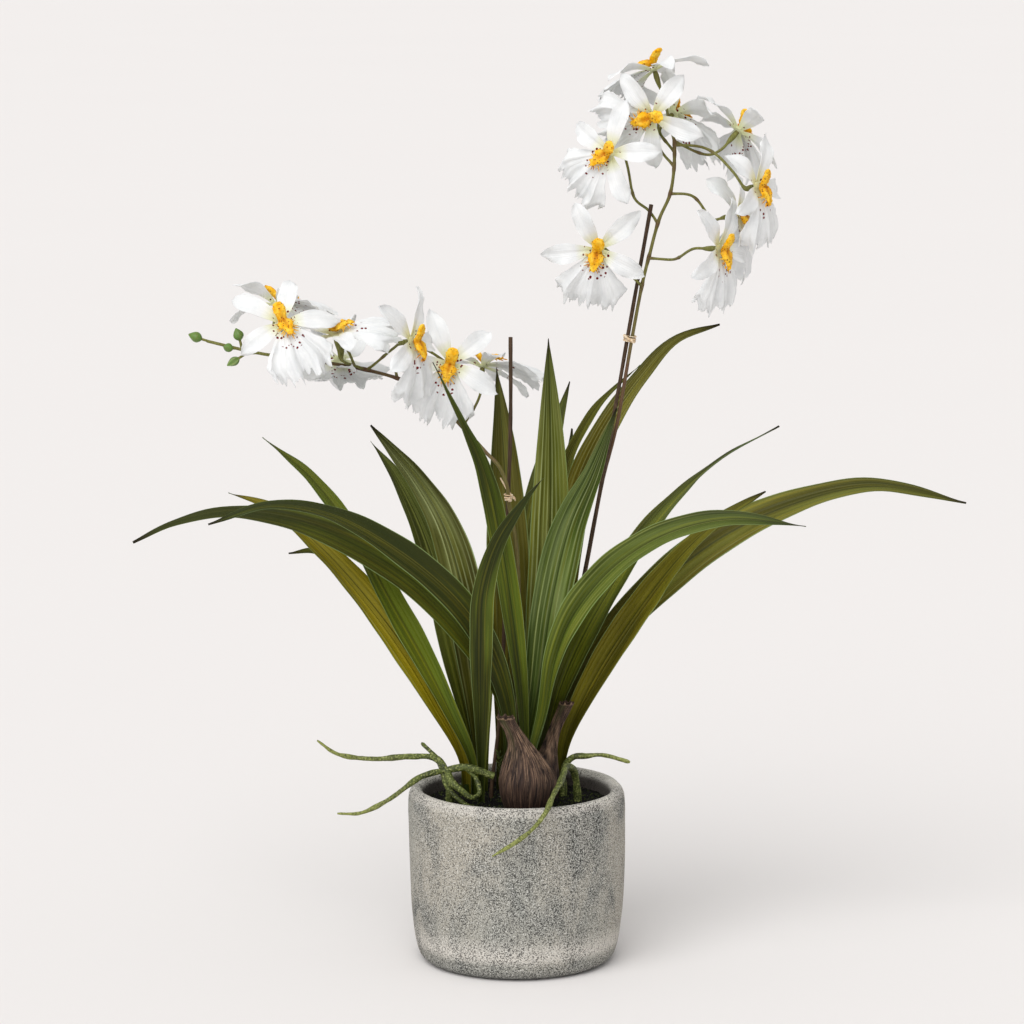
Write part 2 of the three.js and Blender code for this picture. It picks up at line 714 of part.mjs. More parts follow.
// Raffia band round a stake and the stem beside it.
function addTie(name, stake, stem, near) {
  const share = shareNear(stake, vector(near));
  const origin = stake.getPointAt(share);
  const along = stake.getTangentAt(share);
  const beside = stem.getPointAt(shareNear(stem, origin)).sub(origin);
  beside.addScaledVector(along, -beside.dot(along));
  const reach = beside.length();
  const inner = stemRadius + tieClearance;
  const band = new THREE.Shape();
  band.absarc(reach, 0, inner + tieThickness, -Math.PI / 2, Math.PI / 2);
  band.absarc(0, 0, inner + tieThickness, Math.PI / 2, (3 * Math.PI) / 2);
  const hole = new THREE.Path();
  hole.absarc(reach, 0, inner, -Math.PI / 2, Math.PI / 2);
  hole.absarc(0, 0, inner, Math.PI / 2, (3 * Math.PI) / 2);
  band.holes.push(hole);
  const extrusion = { depth: tieHeight, bevelEnabled: false, curveSegments: 4 };
  const geometry = new THREE.ExtrudeGeometry(band, extrusion);
  geometry.translate(0, 0, -tieHeight / 2);
  const across = beside.normalize();
  const turn = new THREE.Matrix4().makeBasis(across, new THREE.Vector3().crossVectors(along, across), along);
  const holder = new THREE.Group();
  holder.position.copy(origin);
  holder.quaternion.setFromRotationMatrix(turn);
  addMesh(holder, name, geometry, "tie");
  plant.add(holder);
}

addTie("tie_right", stakeCurves.stake_right, rightStem, rightTieAt);
addTie("tie_left", stakeCurves.stake_left, leftStem, leftTieAt);

// Midline of a petal or lip, which leaves the hub at one slope and ends at another.
function spine(direction, start, length, slopes, s) {
  const [first, last] = slopes;
  const slope = mix(first, last, s);
  const out = start + (length * (Math.sin(slope) - Math.sin(first))) / (last - first);
  const lift = (length * (Math.cos(first) - Math.cos(slope))) / (last - first);
  return {
    centre: direction.clone().multiplyScalar(out).setZ(lift),
    along: direction.clone().multiplyScalar(Math.cos(slope)).setZ(Math.sin(slope)),
    face: direction.clone().multiplyScalar(-Math.sin(slope)).setZ(Math.cos(slope)),
  };
}

// Frilled sheet that widens from the hub into two lobes with a notch between them.
function lipGeometry(seed) {
  const down = new THREE.Vector3(0, -1, 0);
  const slopes = [radians(lipSlopes[0]), radians(lipSlopes[1] + lipSlopeSpread * draw(seed))];
  const ruffle = lipRuffle * (draw(seed + 1) > 0 ? 1 : -1);
  const skin = new Skin();
  const tops = [];
  const bottoms = [];
  lipStations.forEach((s, row) => {
    const top = [];
    const bottom = [];
    for (let j = 0; j < lipColumns; j++) {
      const u = (2 * j) / (lipColumns - 1) - 1;
      const reach = 1 - lipShoulder * u ** 4 - lipNotch * Math.exp(-((u / lipNotchWidth) ** 2));
      const { centre, face } = spine(down, -1, lipLength, slopes, s * reach);
      const lift = s * s * (ruffle * Math.cos(3 * Math.PI * u) - lipCurl * u * u);
      const middle = centre.setX(u * lipHalfWidths[row]).addScaledVector(face, lift);
      top.push(skin.add(middle.clone().addScaledVector(face, lipThickness / 2)));
      bottom.push(skin.add(middle.clone().addScaledVector(face, -lipThickness / 2)));
    }
    tops.push(top);
    bottoms.push(bottom);
  });
  const last = lipStations.length - 1;
  const edge = lipColumns - 1;
  for (let i = 0; i < last; i++) {
    for (let j = 0; j < edge; j++) {
      skin.quad(tops[i][j], tops[i + 1][j], tops[i + 1][j + 1], tops[i][j + 1]);
      skin.quad(bottoms[i][j], bottoms[i][j + 1], bottoms[i + 1][j + 1], bottoms[i + 1][j]);
    }
    skin.quad(tops[i + 1][0], tops[i][0], bottoms[i][0], bottoms[i + 1][0]);
    skin.quad(tops[i][edge], tops[i + 1][edge], bottoms[i + 1][edge], bottoms[i][edge]);
  }
  for (let j = 0; j < edge; j++) {
    skin.quad(tops[0][j], tops[0][j + 1], bottoms[0][j + 1], bottoms[0][j]);
    skin.quad(tops[last][j + 1], tops[last][j], bottoms[last][j], bottoms[last][j + 1]);
  }
  return skin.geometry();
}

// Five petals round a hub. The flower faces +Z with its lip down; one petal lies behind the lip.
function starGeometry(seed) {
  const skin = new Skin();
  const half = hubThickness / 2;
  const compass = (turn) => new THREE.Vector3(Math.sin(radians(turn)), Math.cos(radians(turn)), 0);
  const centreTop = skin.add(new THREE.Vector3(0, 0, half));
  const centreBottom = skin.add(new THREE.Vector3(0, 0, -half));
  const step = 360 / petalCount;
  const corners = [];
  for (let k = 0; k < petalCount; k++) {
    const corner = compass(step * k).multiplyScalar(hubRadius);
    corners.push([skin.add(corner.clone().setZ(half)), skin.add(corner.clone().setZ(-half))]);
  }
  for (let k = 0; k < petalCount; k++) {
    const direction = compass(step * (k + 0.5));
    const behindLip = k === 2;
    const start = hubRadius * Math.cos(radians(step / 2));
    const mine = seed * 7 + k;
    const stray = [petalSlopeSpreads[0] * draw(mine), petalSlopeSpreads[1] * draw(mine + 0.3)];
    const degrees = behindLip ? lowerPetalSlopes : petalSlopes.map((slope, i) => slope + stray[i]);
    const slopes = degrees.map(radians);
    const twist = radians(petalTwistSpread) * draw(mine + 0.6);
    const length = petalLength * (1 + petalLengthSpread * draw(mine + 0.9));
    const [left, leftBelow] = corners[k];
    const [right, rightBelow] = corners[(k + 1) % petalCount];
    const middle = skin.add(direction.clone().multiplyScalar(start).setZ(half));
    const middleBelow = skin.add(direction.clone().multiplyScalar(start).setZ(-half));
    skin.faces.push(centreTop, middle, left, centreTop, right, middle);
    skin.faces.push(centreBottom, leftBelow, middleBelow, centreBottom, middleBelow, rightBelow);
    let ring = [left, middle, right, rightBelow, middleBelow, leftBelow];
    petalStations.forEach((s, i) => {
      if (behindLip && i === 0) return;
      const { centre, along, face } = spine(direction, start, length, slopes, s);
      face.applyAxisAngle(along, twist * s);
      const across = (petalWidth / 2) * petalWidths[i];
      const section = bladeSection(
        centre, along, face, across, petalFold, petalThickness, petalEdgeThickness,
      );
      const next = skin.ring(section);
      skin.joinBlade(ring, next);
      ring = next;
    });
    const { centre, face } = spine(direction, start, length, slopes, 1);
    const tip = skin.add(centre.clone().addScaledVector(face, petalEdgeThickness / 2));
    const tipBelow = skin.add(centre.clone().addScaledVector(face, -petalEdgeThickness / 2));
    skin.pointBlade(ring, tip, tipBelow);
  }
  return skin.geometry();
}

// Golden callus: a hood over a tongue, as [y, z, half width, half thickness] down the flower.
const callusLevels = [
  [11, 12.5, 2, 0.8], [8.5, 12, 4.3, 1.5], [3.5, 8.8, 4.5, 2.1], [-1, 4.8, 3.8, 2.6],
  [-5.5, 7, 5.8, 2.4], [-10, 7.8, 4.6, 1.9], [-15.5, 7.6, 1.3, 0.8],
];

function callusGeometry() {
  const side = new THREE.Vector3(1, 0, 0);
  const centres = callusLevels.map(([y, z]) => new THREE.Vector3(0, y, z));
  const sections = callusLevels.map(([, , wide, thick], i) => {
    const from = centres[Math.max(i - 1, 0)];
    const to = centres[Math.min(i + 1, centres.length - 1)];
    const along = to.clone().sub(from).normalize();
    return { centre: centres[i], side, rise: new THREE.Vector3().crossVectors(along, side), wide, thick };
  });
  return loft(sections, 6);
}

function addFlower(name, { at, face, up }, seed) {
  const front = vector(face).normalize();
  const upper = vector(up).addScaledVector(front, -vector(up).dot(front)).normalize();
  const turn = new THREE.Matrix4().makeBasis(new THREE.Vector3().crossVectors(upper, front), upper, front);
  const holder = new THREE.Group();
  holder.position.set(...at);
  holder.quaternion.setFromRotationMatrix(turn);
  addMesh(holder, `${name}_petals`, fuse([starGeometry(seed), lipGeometry(seed)]), "petal");
  addMesh(holder, `${name}_callus`, callusGeometry(), "callus");
  plant.add(holder);
}

Object.entries(rightFlowers).forEach(([name, flower], i) => {
  addFlower(`bloom_right_${name}`, flower, flower.seed ?? i + 1);
});
Object.entries(leftFlowers).forEach(([name, flower], i) => {
  addFlower(`bloom_left_${name}`, flower, flower.seed ?? i + 21);
});

// Outline of the pot as [radius, height], from the underside over the rim to the inner floor.
const rimMiddle = potRadius - potWall / 2;
const potInner = potRadius - potWall;
const potInnerFoot = potInner - 6.5;
const potLip = 127; // height where the inner wall turns into the rim
const potOutline = [
  [potFootRadius, 0], [71.8, 1.5], [76, 5], [78.4, 12], [81.7, 34], [83.8, 73],
  [potRadius, 111], [potRadius, 126], [83.4, 132.8], [rimMiddle + 2, 136.3], [rimMiddle - 0.6, potHeight],
  [rimMiddle - 3.4, 135.8], [potInner + 0.5, 132.8], [potInner, potLip], [potInnerFoot, potFloor],
];
const potLevels = potOutline.map(([radius, z]) => [0, 0, z, radius]);
addMesh(plant, "pot", turned(potLevels, potSides), "pot");

// Soil: a plug inside the pot with an uneven top and a hole for each thing that stands in it.
function soilGeometry() {
  const innerAt = (z) => mix(potInnerFoot, potInner, (z - potFloor) / (potLip - potFloor));
  const skin = new Skin();
  const ringAt = (radius, z, bump) => {
    const points = [];
    for (let k = 0; k < potSides; k++) {
      const angle = (2 * Math.PI * k) / potSides;
      const lift = bump * draw(radius + k);
      points.push(new THREE.Vector3(radius * Math.cos(angle), radius * Math.sin(angle), z + lift));
    }
    return skin.ring(points);
  };
  const outer = innerAt(soilTop) - gap;
  const rings = [
    ringAt(innerAt(potFloor + gap) - gap, potFloor + gap, 0),
    ringAt(outer, soilTop, 0),
    ringAt(0.76 * outer, soilTop, soilBump),
    ringAt(0.46 * outer, soilTop + 0.6, soilBump),
  ];
  for (let i = 0; i < rings.length - 1; i++) skin.join(rings[i], rings[i + 1]);
  skin.cap([...rings[0]].reverse());
  skin.cap(rings[rings.length - 1]);
  return cut(skin.geometry(), holes);
}

addMesh(plant, "soil", soilGeometry(), "soil");

export default plant;
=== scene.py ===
import math

import bpy
import numpy as np
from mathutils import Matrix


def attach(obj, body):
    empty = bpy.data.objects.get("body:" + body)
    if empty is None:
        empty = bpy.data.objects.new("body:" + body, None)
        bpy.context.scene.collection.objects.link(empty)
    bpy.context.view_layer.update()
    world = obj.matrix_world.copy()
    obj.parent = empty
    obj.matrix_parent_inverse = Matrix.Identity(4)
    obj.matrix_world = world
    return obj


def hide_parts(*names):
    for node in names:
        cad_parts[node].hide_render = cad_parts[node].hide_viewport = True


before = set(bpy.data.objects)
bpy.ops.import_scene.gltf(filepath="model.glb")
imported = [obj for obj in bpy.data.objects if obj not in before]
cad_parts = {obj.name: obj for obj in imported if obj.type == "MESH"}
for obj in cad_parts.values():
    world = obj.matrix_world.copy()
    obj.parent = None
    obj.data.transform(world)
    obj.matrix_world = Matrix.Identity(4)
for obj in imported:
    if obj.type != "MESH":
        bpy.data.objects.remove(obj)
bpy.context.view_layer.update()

# Potted orchid: every finished surface stands in for the CAD node of the same place. Lengths in the
# dictionaries are millimetres, as in the part's source, and turn to metres when a mesh is made.
millimetre = 0.001
soilTop = 123.0
uprightReach = 6.0
body = "root"
print("frame loaded:", len(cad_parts), "nodes")


def smooth(value, low, high):
    share = np.clip((value - low) / (high - low), 0, 1)
    return share * share * (3 - 2 * share)


def draw(seed):
    wave = math.sin(seed * 127.1 + 311.7) * 43758.5453
    return 2 * (wave - math.floor(wave)) - 1


def unit(vectors):
    vectors = np.asarray(vectors, float)
    return vectors / np.linalg.norm(vectors, axis=-1, keepdims=True)


# Smooth value through given stations, level at the ends.
def eased(x, stations, values):
    stations, values = np.asarray(stations, float), np.asarray(values, float)
    slopes = np.gradient(values, stations, axis=0)
    x = np.clip(x, stations[0], stations[-1])
    i = np.clip(np.searchsorted(stations, x, side="right") - 1, 0, len(stations) - 2)
    gap = stations[i + 1] - stations[i]
    t = (x - stations[i]) / gap
    if values.ndim > 1:
        t, gap = t[:, None], gap[:, None]
    start = (1 + 2 * t) * (1 - t) ** 2 * values[i] + t * (1 - t) ** 2 * gap * slopes[i]
    end = t * t * (3 - 2 * t) * values[i + 1] + t * t * (t - 1) * gap * slopes[i + 1]
    return start + end


# Centripetal curve through points, walked by shares of its length.
class PlantCurve:
    perSpan = 24

    def __init__(self, points):
        points = np.array(points, float)
        padded = [2 * points[0] - points[1], *points, 2 * points[-1] - points[-2]]
        rows = []
        u = (np.arange(self.perSpan) / self.perSpan)[:, None]
        for p0, p1, p2, p3 in zip(padded, padded[1:], padded[2:], padded[3:]):
            d0, d1, d2 = (math.sqrt(np.linalg.norm(b - a)) for a, b in ((p0, p1), (p1, p2), (p2, p3)))
            leave = ((p1 - p0) / d0 - (p2 - p0) / (d0 + d1) + (p2 - p1) / d1) * d1
            arrive = ((p2 - p1) / d1 - (p3 - p1) / (d1 + d2) + (p3 - p2) / d2) * d1
            square = -3 * p1 + 3 * p2 - 2 * leave - arrive
            cube = 2 * p1 - 2 * p2 + leave + arrive
            rows.append(p1 + leave * u + square * u**2 + cube * u**3)
        self.samples = np.concatenate([*rows, points[-1:]])
        steps = np.linalg.norm(np.diff(self.samples, axis=0), axis=1)
        walked = np.concatenate([[0], np.cumsum(steps)])
        self.length = walked[-1]
        self.shares = walked / self.length

    def at(self, shares):
        return np.stack([np.interp(shares, self.shares, self.samples[:, k]) for k in range(3)], axis=-1)

    def heading(self, shares):
        shares = np.asarray(shares, float)
        step = 0.004
        return unit(self.at(np.minimum(shares + step, 1)) - self.at(np.maximum(shares - step, 0)))

    def shareNear(self, point):
        shares = np.linspace(0, 1, 401)
        return shares[np.argmin(np.linalg.norm(self.at(shares) - np.array(point, float), axis=1))]


def rooted(foot, footZ, path):
    levels = (footZ, soilTop - uprightReach, soilTop + uprightReach)
    return PlantCurve([(*foot, z) for z in levels] + list(path))


# Angles of even steps round a circle, and the circle's points there.
def circle(sides):
    angles = np.linspace(0, 2 * math.pi, sides, endpoint=False)
    return angles, np.stack([np.cos(angles), np.sin(angles)], axis=1)


# Points of level rings round the upright axis, from a radius and a height for each ring.
def turnedPoints(radii, heights, sides):
    flat = np.asarray(radii, float)[:, None, None] * circle(sides)[1]
    upright = np.broadcast_to(np.asarray(heights, float)[:, None, None], (len(flat), sides, 1))
    return np.concatenate([flat, upright], axis=2).reshape(-1, 3)


# Points, faces and named values of one piece, gathered surface by surface.
class Skin:
    def __init__(self):
        self.points, self.faces, self.values, self.count = [], [], {}, 0

    def add(self, points, faces, **values):
        points = np.asarray(points, float).reshape(-1, 3)
        self.points.append(points)
        self.faces += [tuple(int(k) + self.count for k in face) for face in faces]
        self.count += len(points)
        for name, value in values.items():
            value = np.full(len(points), value, float) if np.ndim(value) == 0 else np.asarray(value, float)
            self.values.setdefault(name, []).append(value.reshape(len(points), -1))

    def build(self, name, material=None, edges=()):
        mesh = bpy.data.meshes.new(name)
        mesh.from_pydata((np.concatenate(self.points) * millimetre).tolist(), list(edges), self.faces)
        for key, parts in self.values.items():
            value = np.concatenate(parts)
            if key == "uv":
                corners = np.empty(len(mesh.loops), int)
                mesh.loops.foreach_get("vertex_index", corners)
                mesh.uv_layers.new(name="surface").data.foreach_set("uv", value[corners].ravel())
            elif value.shape[1] == 3:
                made = mesh.attributes.new(key, "FLOAT_VECTOR", "POINT")
                made.data.foreach_set("vector", value.ravel())
            else:
                mesh.attributes.new(key, "FLOAT", "POINT").data.foreach_set("value", value.ravel())
        mesh.validate()
        if material:
            mesh.materials.append(material)
        return mesh


# Faces of a thin sheet: upper side, lower side and the rim between them.
def sheetFaces(rows, columns, flipped=False):
    grid = np.arange(rows * columns).reshape(rows, columns)
    if flipped:
        grid = grid[:, ::-1]
    corners = (grid[:-1, :-1], grid[:-1, 1:], grid[1:, 1:], grid[1:, :-1])
    upper = np.stack([corner.ravel() for corner in corners], axis=1)
    lower = upper[:, ::-1] + rows * columns
    rim = np.concatenate([grid[0], grid[1:, -1], grid[-1, -2::-1], grid[-2:0:-1, 0]])
    ahead = np.roll(rim, -1)
    sides = np.stack([ahead, rim, rim + rows * columns, ahead + rows * columns], axis=1)
    return np.concatenate([upper, lower, sides])


# Faces of a tube of rings, its ends closed.
def tubeFaces(rings, sides):
    faces = []
    for i in range(rings - 1):
        for k in range(sides):
            after = (k + 1) % sides
            faces.append((i * sides + k, i * sides + after, (i + 1) * sides + after, (i + 1) * sides + k))
    faces.append(tuple(range(sides))[::-1])
    faces.append(tuple((rings - 1) * sides + k for k in range(sides)))
    return faces


def addToScene(name, data):
    made = bpy.data.objects.new(name, data)
    bpy.context.scene.collection.objects.link(made)
    return made


def finishMesh(name, mesh, nodes, angle=60):
    mesh.shade_smooth()
    mesh.set_sharp_from_angle(angle=math.radians(angle))
    piece = addToScene(name, mesh)
    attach(piece, body)
    if nodes:
        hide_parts(*nodes)


# One output of a node, with arithmetic, so that a pattern reads as a formula.
class Field:
    def __init__(self, weave, socket):
        self.weave, self.socket = weave, socket

    def out(self, name):
        return Field(self.weave, self.socket.node.outputs[name])

    def calc(self, operation, other=0.0):
        return self.weave.node("ShaderNodeMath", {0: self, 1: other}, operation=operation)

    def remap(self, low, high, toLow=0.0, toHigh=1.0):
        values = {"Value": self, "From Min": low, "From Max": high, "To Min": toLow, "To Max": toHigh}
        return self.weave.node("ShaderNodeMapRange", values, "Result")

    def __add__(self, other):
        return self.calc("ADD", other)

    def __sub__(self, other):
        return self.calc("SUBTRACT", other)

    def __rsub__(self, other):
        return self.weave.node("ShaderNodeMath", {0: other, 1: self}, operation="SUBTRACT")

    def __mul__(self, other):
        return self.calc("MULTIPLY", other)


# A node tree with short ways to add to it.
class Weave:
    def __init__(self, tree):
        self.tree = tree

    def node(self, kind, values=(), output=0, **settings):
        made = self.tree.nodes.new(kind)
        for key, value in settings.items():
            setattr(made, key, value)
        for key, value in dict(values).items():
            if isinstance(value, Field):
                self.tree.links.new(value.socket, made.inputs[key])
            else:
                made.inputs[key].default_value = value
        return Field(self, made.outputs[output]) if len(made.outputs) else None

    def parts(self, vector):
        x = self.node("ShaderNodeSeparateXYZ", {"Vector": vector})
        return x, x.out("Y"), x.out("Z")

    def shifted(self, vector, x, y):
        shift = self.node("ShaderNodeCombineXYZ", {"X": x, "Y": y})
        return self.node("ShaderNodeVectorMath", {0: vector, 1: shift}, operation="ADD")

    # Noise over the material's own place, or over another vector; a scale of three numbers stretches it.
    def noise(self, scale, detail=2.0, roughness=0.5, distortion=0.0, over=None, shift=(0, 0, 0)):
        vector = over or self.place
        if isinstance(scale, tuple):
            vector = self.node("ShaderNodeMapping", {"Vector": vector, "Scale": scale, "Location": shift})
            scale = 1.0
        values = {"Vector": vector, "Scale": scale, "Detail": detail, "Roughness": roughness}
        return self.node("ShaderNodeTexNoise", {**values, "Distortion": distortion}, "Fac")


# Display colour to the linear colour that the shader wants.
def shade(red, green, blue):
    values = [c / 12.92 if c <= 0.04045 else ((c + 0.055) / 1.055) ** 2.4 for c in (red, green, blue)]
    return (*values, 1.0)


# A material in the making: its named colours are laid one over another, then come the bumps.
class Paint(Weave):
    def __init__(self, name, colours, first, **constants):
        self.material = bpy.data.materials.new(name)
        self.material.use_nodes = True
        super().__init__(self.material.node_tree)
        self.shader = self.tree.nodes["Principled BSDF"]
        for key, value in constants.items():
            self.shader.inputs[key.replace("_", " ")].default_value = value
        self.colours = colours
        self.colour = shade(*colours[first])
        self.place = self.node("ShaderNodeTexCoord", output="Object")

    def surface(self):
        return self.node("ShaderNodeUVMap", output="UV", uv_map="surface")

    def value(self, name):
        return self.node("ShaderNodeAttribute", output="Fac", attribute_name=name)

    def cells(self, scale, randomness=1.0, over=None):
        values = {"Vector": over or self.place, "Scale": scale, "Randomness": randomness}
        distance = self.node("ShaderNodeTexVoronoi", values, "Distance")
        return distance, self.node("ShaderNodeSeparateColor", {"Color": distance.out("Color")})

    def lay(self, name, factor):
        values = {0: factor, 6: self.colour, 7: shade(*self.colours[name])}
        self.colour = self.node("ShaderNodeMix", values, 2, data_type="RGBA")

    # Links the colour, each bump (height, distance, strength) over the one before, and a roughness.
    def finish(self, *bumps, roughness=None):
        ends = {"Base Color": self.colour}
        for height, distance, strength in bumps:
            values = {"Height": height, "Distance": distance, "Strength": strength}
            if "Normal" in ends:
                values["Normal"] = ends["Normal"]
            ends["Normal"] = self.node("ShaderNodeBump", values, "Normal")
        if roughness:
            ends["Roughness"] = roughness
        for name, field in ends.items():
            self.tree.links.new(field.socket, self.shader.inputs[name])
        return self.material


# A Geometry Nodes tree with named inputs; it ends in real geometry that has its material.
class Growth(Weave):
    def __init__(self, name, **inputs):
        super().__init__(bpy.data.node_groups.new(name, "GeometryNodeTree"))
        self.addSocket("Geometry", "INPUT", "Geometry")
        for label, value in inputs.items():
            kind = "Int" if isinstance(value, int) else "Float"
            self.addSocket(label, "INPUT", kind).default_value = value
        self.addSocket("Material", "INPUT", "Material")
        self.addSocket("Geometry", "OUTPUT", "Geometry")
        self.given = self.node("NodeGroupInput")

    def addSocket(self, label, way, kind):
        return self.tree.interface.new_socket(label, in_out=way, socket_type="NodeSocket" + kind)

    def named(self, name, kind="FLOAT"):
        return self.node("GeometryNodeInputNamedAttribute", {"Name": name}, data_type=kind)

    def moved(self, geometry, direction, amount):
        push = self.node("ShaderNodeVectorMath", {0: direction, "Scale": amount}, operation="SCALE")
        return self.node("GeometryNodeSetPosition", {"Geometry": geometry, "Offset": push})

    def close(self, geometry):
        real = self.node("GeometryNodeRealizeInstances", {"Geometry": geometry})
        material = self.given.out("Material")
        painted = self.node("GeometryNodeSetMaterial", {"Geometry": real, "Material": material})
        self.node("NodeGroupOutput", {"Geometry": painted})

    # Runs the tree on a mesh and gives back the plain result.
    def grow(self, mesh, **values):
        holder = addToScene("holder", mesh)
        modifier = holder.modifiers.new("grow", "NODES")
        modifier.node_group = self.tree
        names = {s.name: s.identifier for s in self.tree.interface.items_tree if s.in_out == "INPUT"}
        for label, value in values.items():
            modifier[names[label]] = value
        bpy.context.view_layer.update()
        seen = holder.evaluated_get(bpy.context.evaluated_depsgraph_get())
        made = bpy.data.meshes.new_from_object(seen)
        bpy.data.objects.remove(holder)
        return made


leafColour = {
    "deep": (0.12, 0.16, 0.035),
    "green": (0.24, 0.31, 0.065),
    "bright": (0.38, 0.46, 0.11),
    "olive": (0.66, 0.58, 0.05),
    "gleam": (0.66, 0.70, 0.50),
    "edge": (0.52, 0.60, 0.38),
    "tip": (0.13, 0.10, 0.05),
    "under": (0.34, 0.42, 0.22),
}
leafRibs = 9


def makeLeafMaterial():
    paint = Paint("leafGreen", leafColour, "deep", Specular_IOR_Level=0.16)
    flat = paint.surface()
    side, row, _ = paint.parts(flat)
    mark = paint.value("mark")
    moved = paint.shifted(flat, mark, mark * 7.0)
    broad = paint.noise((1.6, 2.0, 1), 3.0, 0.55, over=moved)
    streaks = paint.noise((9, 1.0, 1), 4.0, 0.6, over=moved)
    veins = paint.noise((90, 1.6, 1), over=moved)
    swing = side * (2 * math.pi * leafRibs) + broad * 5.0
    ribs = swing.calc("SINE").remap(-1.0, 1.0)
    ribAmount = paint.value("ribbed").remap(0.0, 1.0, 0.05, 1.0)

    # Painted light and shade: the fresh value moves the whole blade towards bright or deep green.
    level = broad + paint.value("fresh") * 0.24
    paint.lay("green", level.remap(0.46, 0.72))
    lit = streaks.remap(0.42, 0.64, 0.0, 0.9) * level.remap(0.55, 0.76)
    halfLit = side.remap(0.46, 0.54) * level.remap(0.50, 0.78, 0.0, 0.6)
    paint.lay("bright", lit.calc("MAXIMUM", halfLit))
    wish = streaks.remap(0.5, 0.68, 0.0, 0.25) + paint.value("tone") * 1.2
    wish = wish * broad.remap(0.34, 0.60, 0.3, 1.0)
    paint.lay("olive", wish.calc("MINIMUM", 0.92))
    glint = ribs.calc("POWER", 3.0) * streaks.remap(0.42, 0.62, 0.0, 0.9)
    glint = glint.calc("MAXIMUM", broad.remap(0.46, 0.66, 0.0, 0.4))
    paint.lay("gleam", glint * (row.remap(0.25, 0.5) * ribAmount))
    # Painted shade in the pleat furrows, laid with the blade's own dark veins.
    furrowShade = (1.0 - ribs) * ribAmount * 0.3
    paint.lay("deep", furrowShade.calc("MAXIMUM", veins.remap(0.5, 0.75, 0.0, 0.4)))

    fromMiddle = (side - 0.5).calc("ABSOLUTE")
    paint.lay("deep", fromMiddle.remap(0.012, 0.035, 0.6, 0.0))
    # A pale line along both edges, a painted rim highlight.
    paint.lay("edge", fromMiddle.remap(0.470, 0.488, 0.0, 0.7))
    # Painted shade darkens the foot of each blade among the other leaves; the blade also darkens towards its
    # tip.
    foot = row.remap(0.06, 0.34, 0.85, 0.0)
    paint.lay("deep", foot.calc("MAXIMUM", row.remap(0.6, 0.95, 0.0, 0.5)))
    paint.lay("tip", row.remap(0.955, 0.995, 0.0, 0.9))
    paint.lay("under", paint.value("below") * 0.75)
    bumps = ((ribs * ribAmount, 0.0005, 0.6), (veins, 0.0005, 0.4))
    return paint.finish(*bumps, roughness=streaks.remap(0.3, 0.7, 0.38, 0.54))


leafBlade = {
    "rows": 76,
    "columns": 43,
    "footZ": 103.0,
    "footShare": 0.3,
    "footFold": 0.75,
    "fold": 0.2,
    "middleThickness": 1.0,
    "edgeThickness": 0.4,
    "pleats": 3.0,
    "pleatHeight": 0.45,
    "ripple": 1.1,
    "wander": 0.025,
    "sheathRadius": 5.6,
    "sheathTop": 138.0,
}

